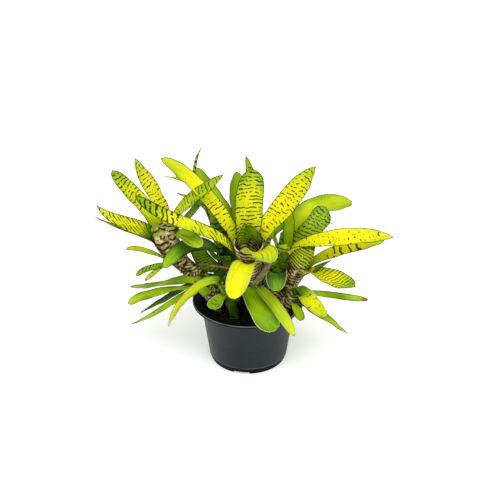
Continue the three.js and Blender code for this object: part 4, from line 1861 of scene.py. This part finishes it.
@dataclass
class Studio:
    """A white floor, soft light all round and the camera."""

    camera_place: Triple = (0.0024, -0.776, 0.543)
    pitch_down: float = 26.2
    lens: float = 47.2
    sensor: float = 36.0
    floor_size: float = 16.0
    floor_glow: float = 0.38
    sky: float = 0.46

    def camera(self) -> None:
        """Make the camera."""
        data = bpy.data.cameras.new("camera")
        data.lens = self.lens
        data.sensor_width = self.sensor
        data.clip_end = 50.0
        camera = bpy.data.objects.new("camera", data)
        camera.location = self.camera_place
        camera.rotation_euler = (math.radians(90 - self.pitch_down), 0.0, 0.0)
        bpy.context.collection.objects.link(camera)
        bpy.context.scene.camera = camera

    def floor(self) -> None:
        """Lay the floor."""
        floor = primitive(bpy.ops.mesh.primitive_plane_add, size=self.floor_size)
        floor.name = "floor"
        white = Bench("floor_white").surface(
            Base_Color=(0.9, 0.91, 0.9, 1.0),
            Roughness=0.9,
            Emission_Color=(0.98, 1.0, 0.98, 1.0),
            Emission_Strength=self.floor_glow,
        )
        floor.data.materials.append(white)

    def sun(self, name: str, toward: Triple, spread: float, strength: float) -> None:
        """Hang one wide, soft lamp far away.

        Args:
            name: the lamp's name.
            toward: the direction that it stands in.
            spread: how wide it is, in degrees.
            strength: its strength in watts per square metre.
        """
        data = bpy.data.lights.new(name, "SUN")
        data.angle = math.radians(spread)
        data.energy = strength
        lamp = bpy.data.objects.new(name, data)
        lamp.location = toward
        lamp.rotation_euler = (-Vector(toward)).to_track_quat("-Z", "Y").to_euler()
        bpy.context.collection.objects.link(lamp)

    def build(self) -> None:
        """Make the floor, the lamps, the sky and the camera."""
        self.floor()
        self.sun("key", (0.35, -0.7, 1.3), 45.0, 1.65)
        self.sun("fill", (-1.0, -0.5, 1.1), 60.0, 0.6)
        world = bpy.data.worlds.new("studio")
        world.use_nodes = True
        background = world.node_tree.nodes["Background"]
        background.inputs[0].default_value = (1.0, 1.0, 1.0, 1.0)
        background.inputs[1].default_value = self.sky
        bpy.context.scene.world = world
        bpy.context.scene.view_settings.view_transform = "Standard"
        self.camera()


def main() -> None:
    """Build the whole plant, in order, and report each piece."""
    logging.basicConfig(level=logging.INFO, format="%(name)s %(message)s")
    Studio().build()
    # the second finish paints shade
    satin, painted_shade = PotFinish("charcoal_plastic"), PotFinish("painted_shade_plastic", gloss=0.06)
    NurseryPot().build(satin.build(), painted_shade.build())
    PottingMix().build(BarkFinish("bark_mix").build())
    leaf_finish = LeafFinish("living_leaf").build()
    tooth_finish = ToothFinish("margin_teeth").build()
    for rosette in rosettes():
        rosette.build(leaf_finish, tooth_finish)
    straw = StrawFinish("dry_stalk")
    bark = StrawFinish("runner_skin", dark="2c2810", body="7c7440", light="c8bc80")
    stalk_points = [(2, -12, 132), (-20, -12, 140), (-42, -10, 143), (-66, -8, 144)]
    runner_points = [(31, -24, 158), (23, -27, 143), (10, -24, 128), (4, -16, 109)]
    stalk = Fibre("flower_stalk", stalk_points, 1.9, 0.8)
    runner = Fibre("offset_runner", runner_points, 4.0, 4.2)
    for fibre, finish in ((stalk, straw), (runner, bark)):
        hand_over(fibre.build(finish.build()), "banded_leaf", "mother_rosette")


if __name__ == "__main__":
    main()
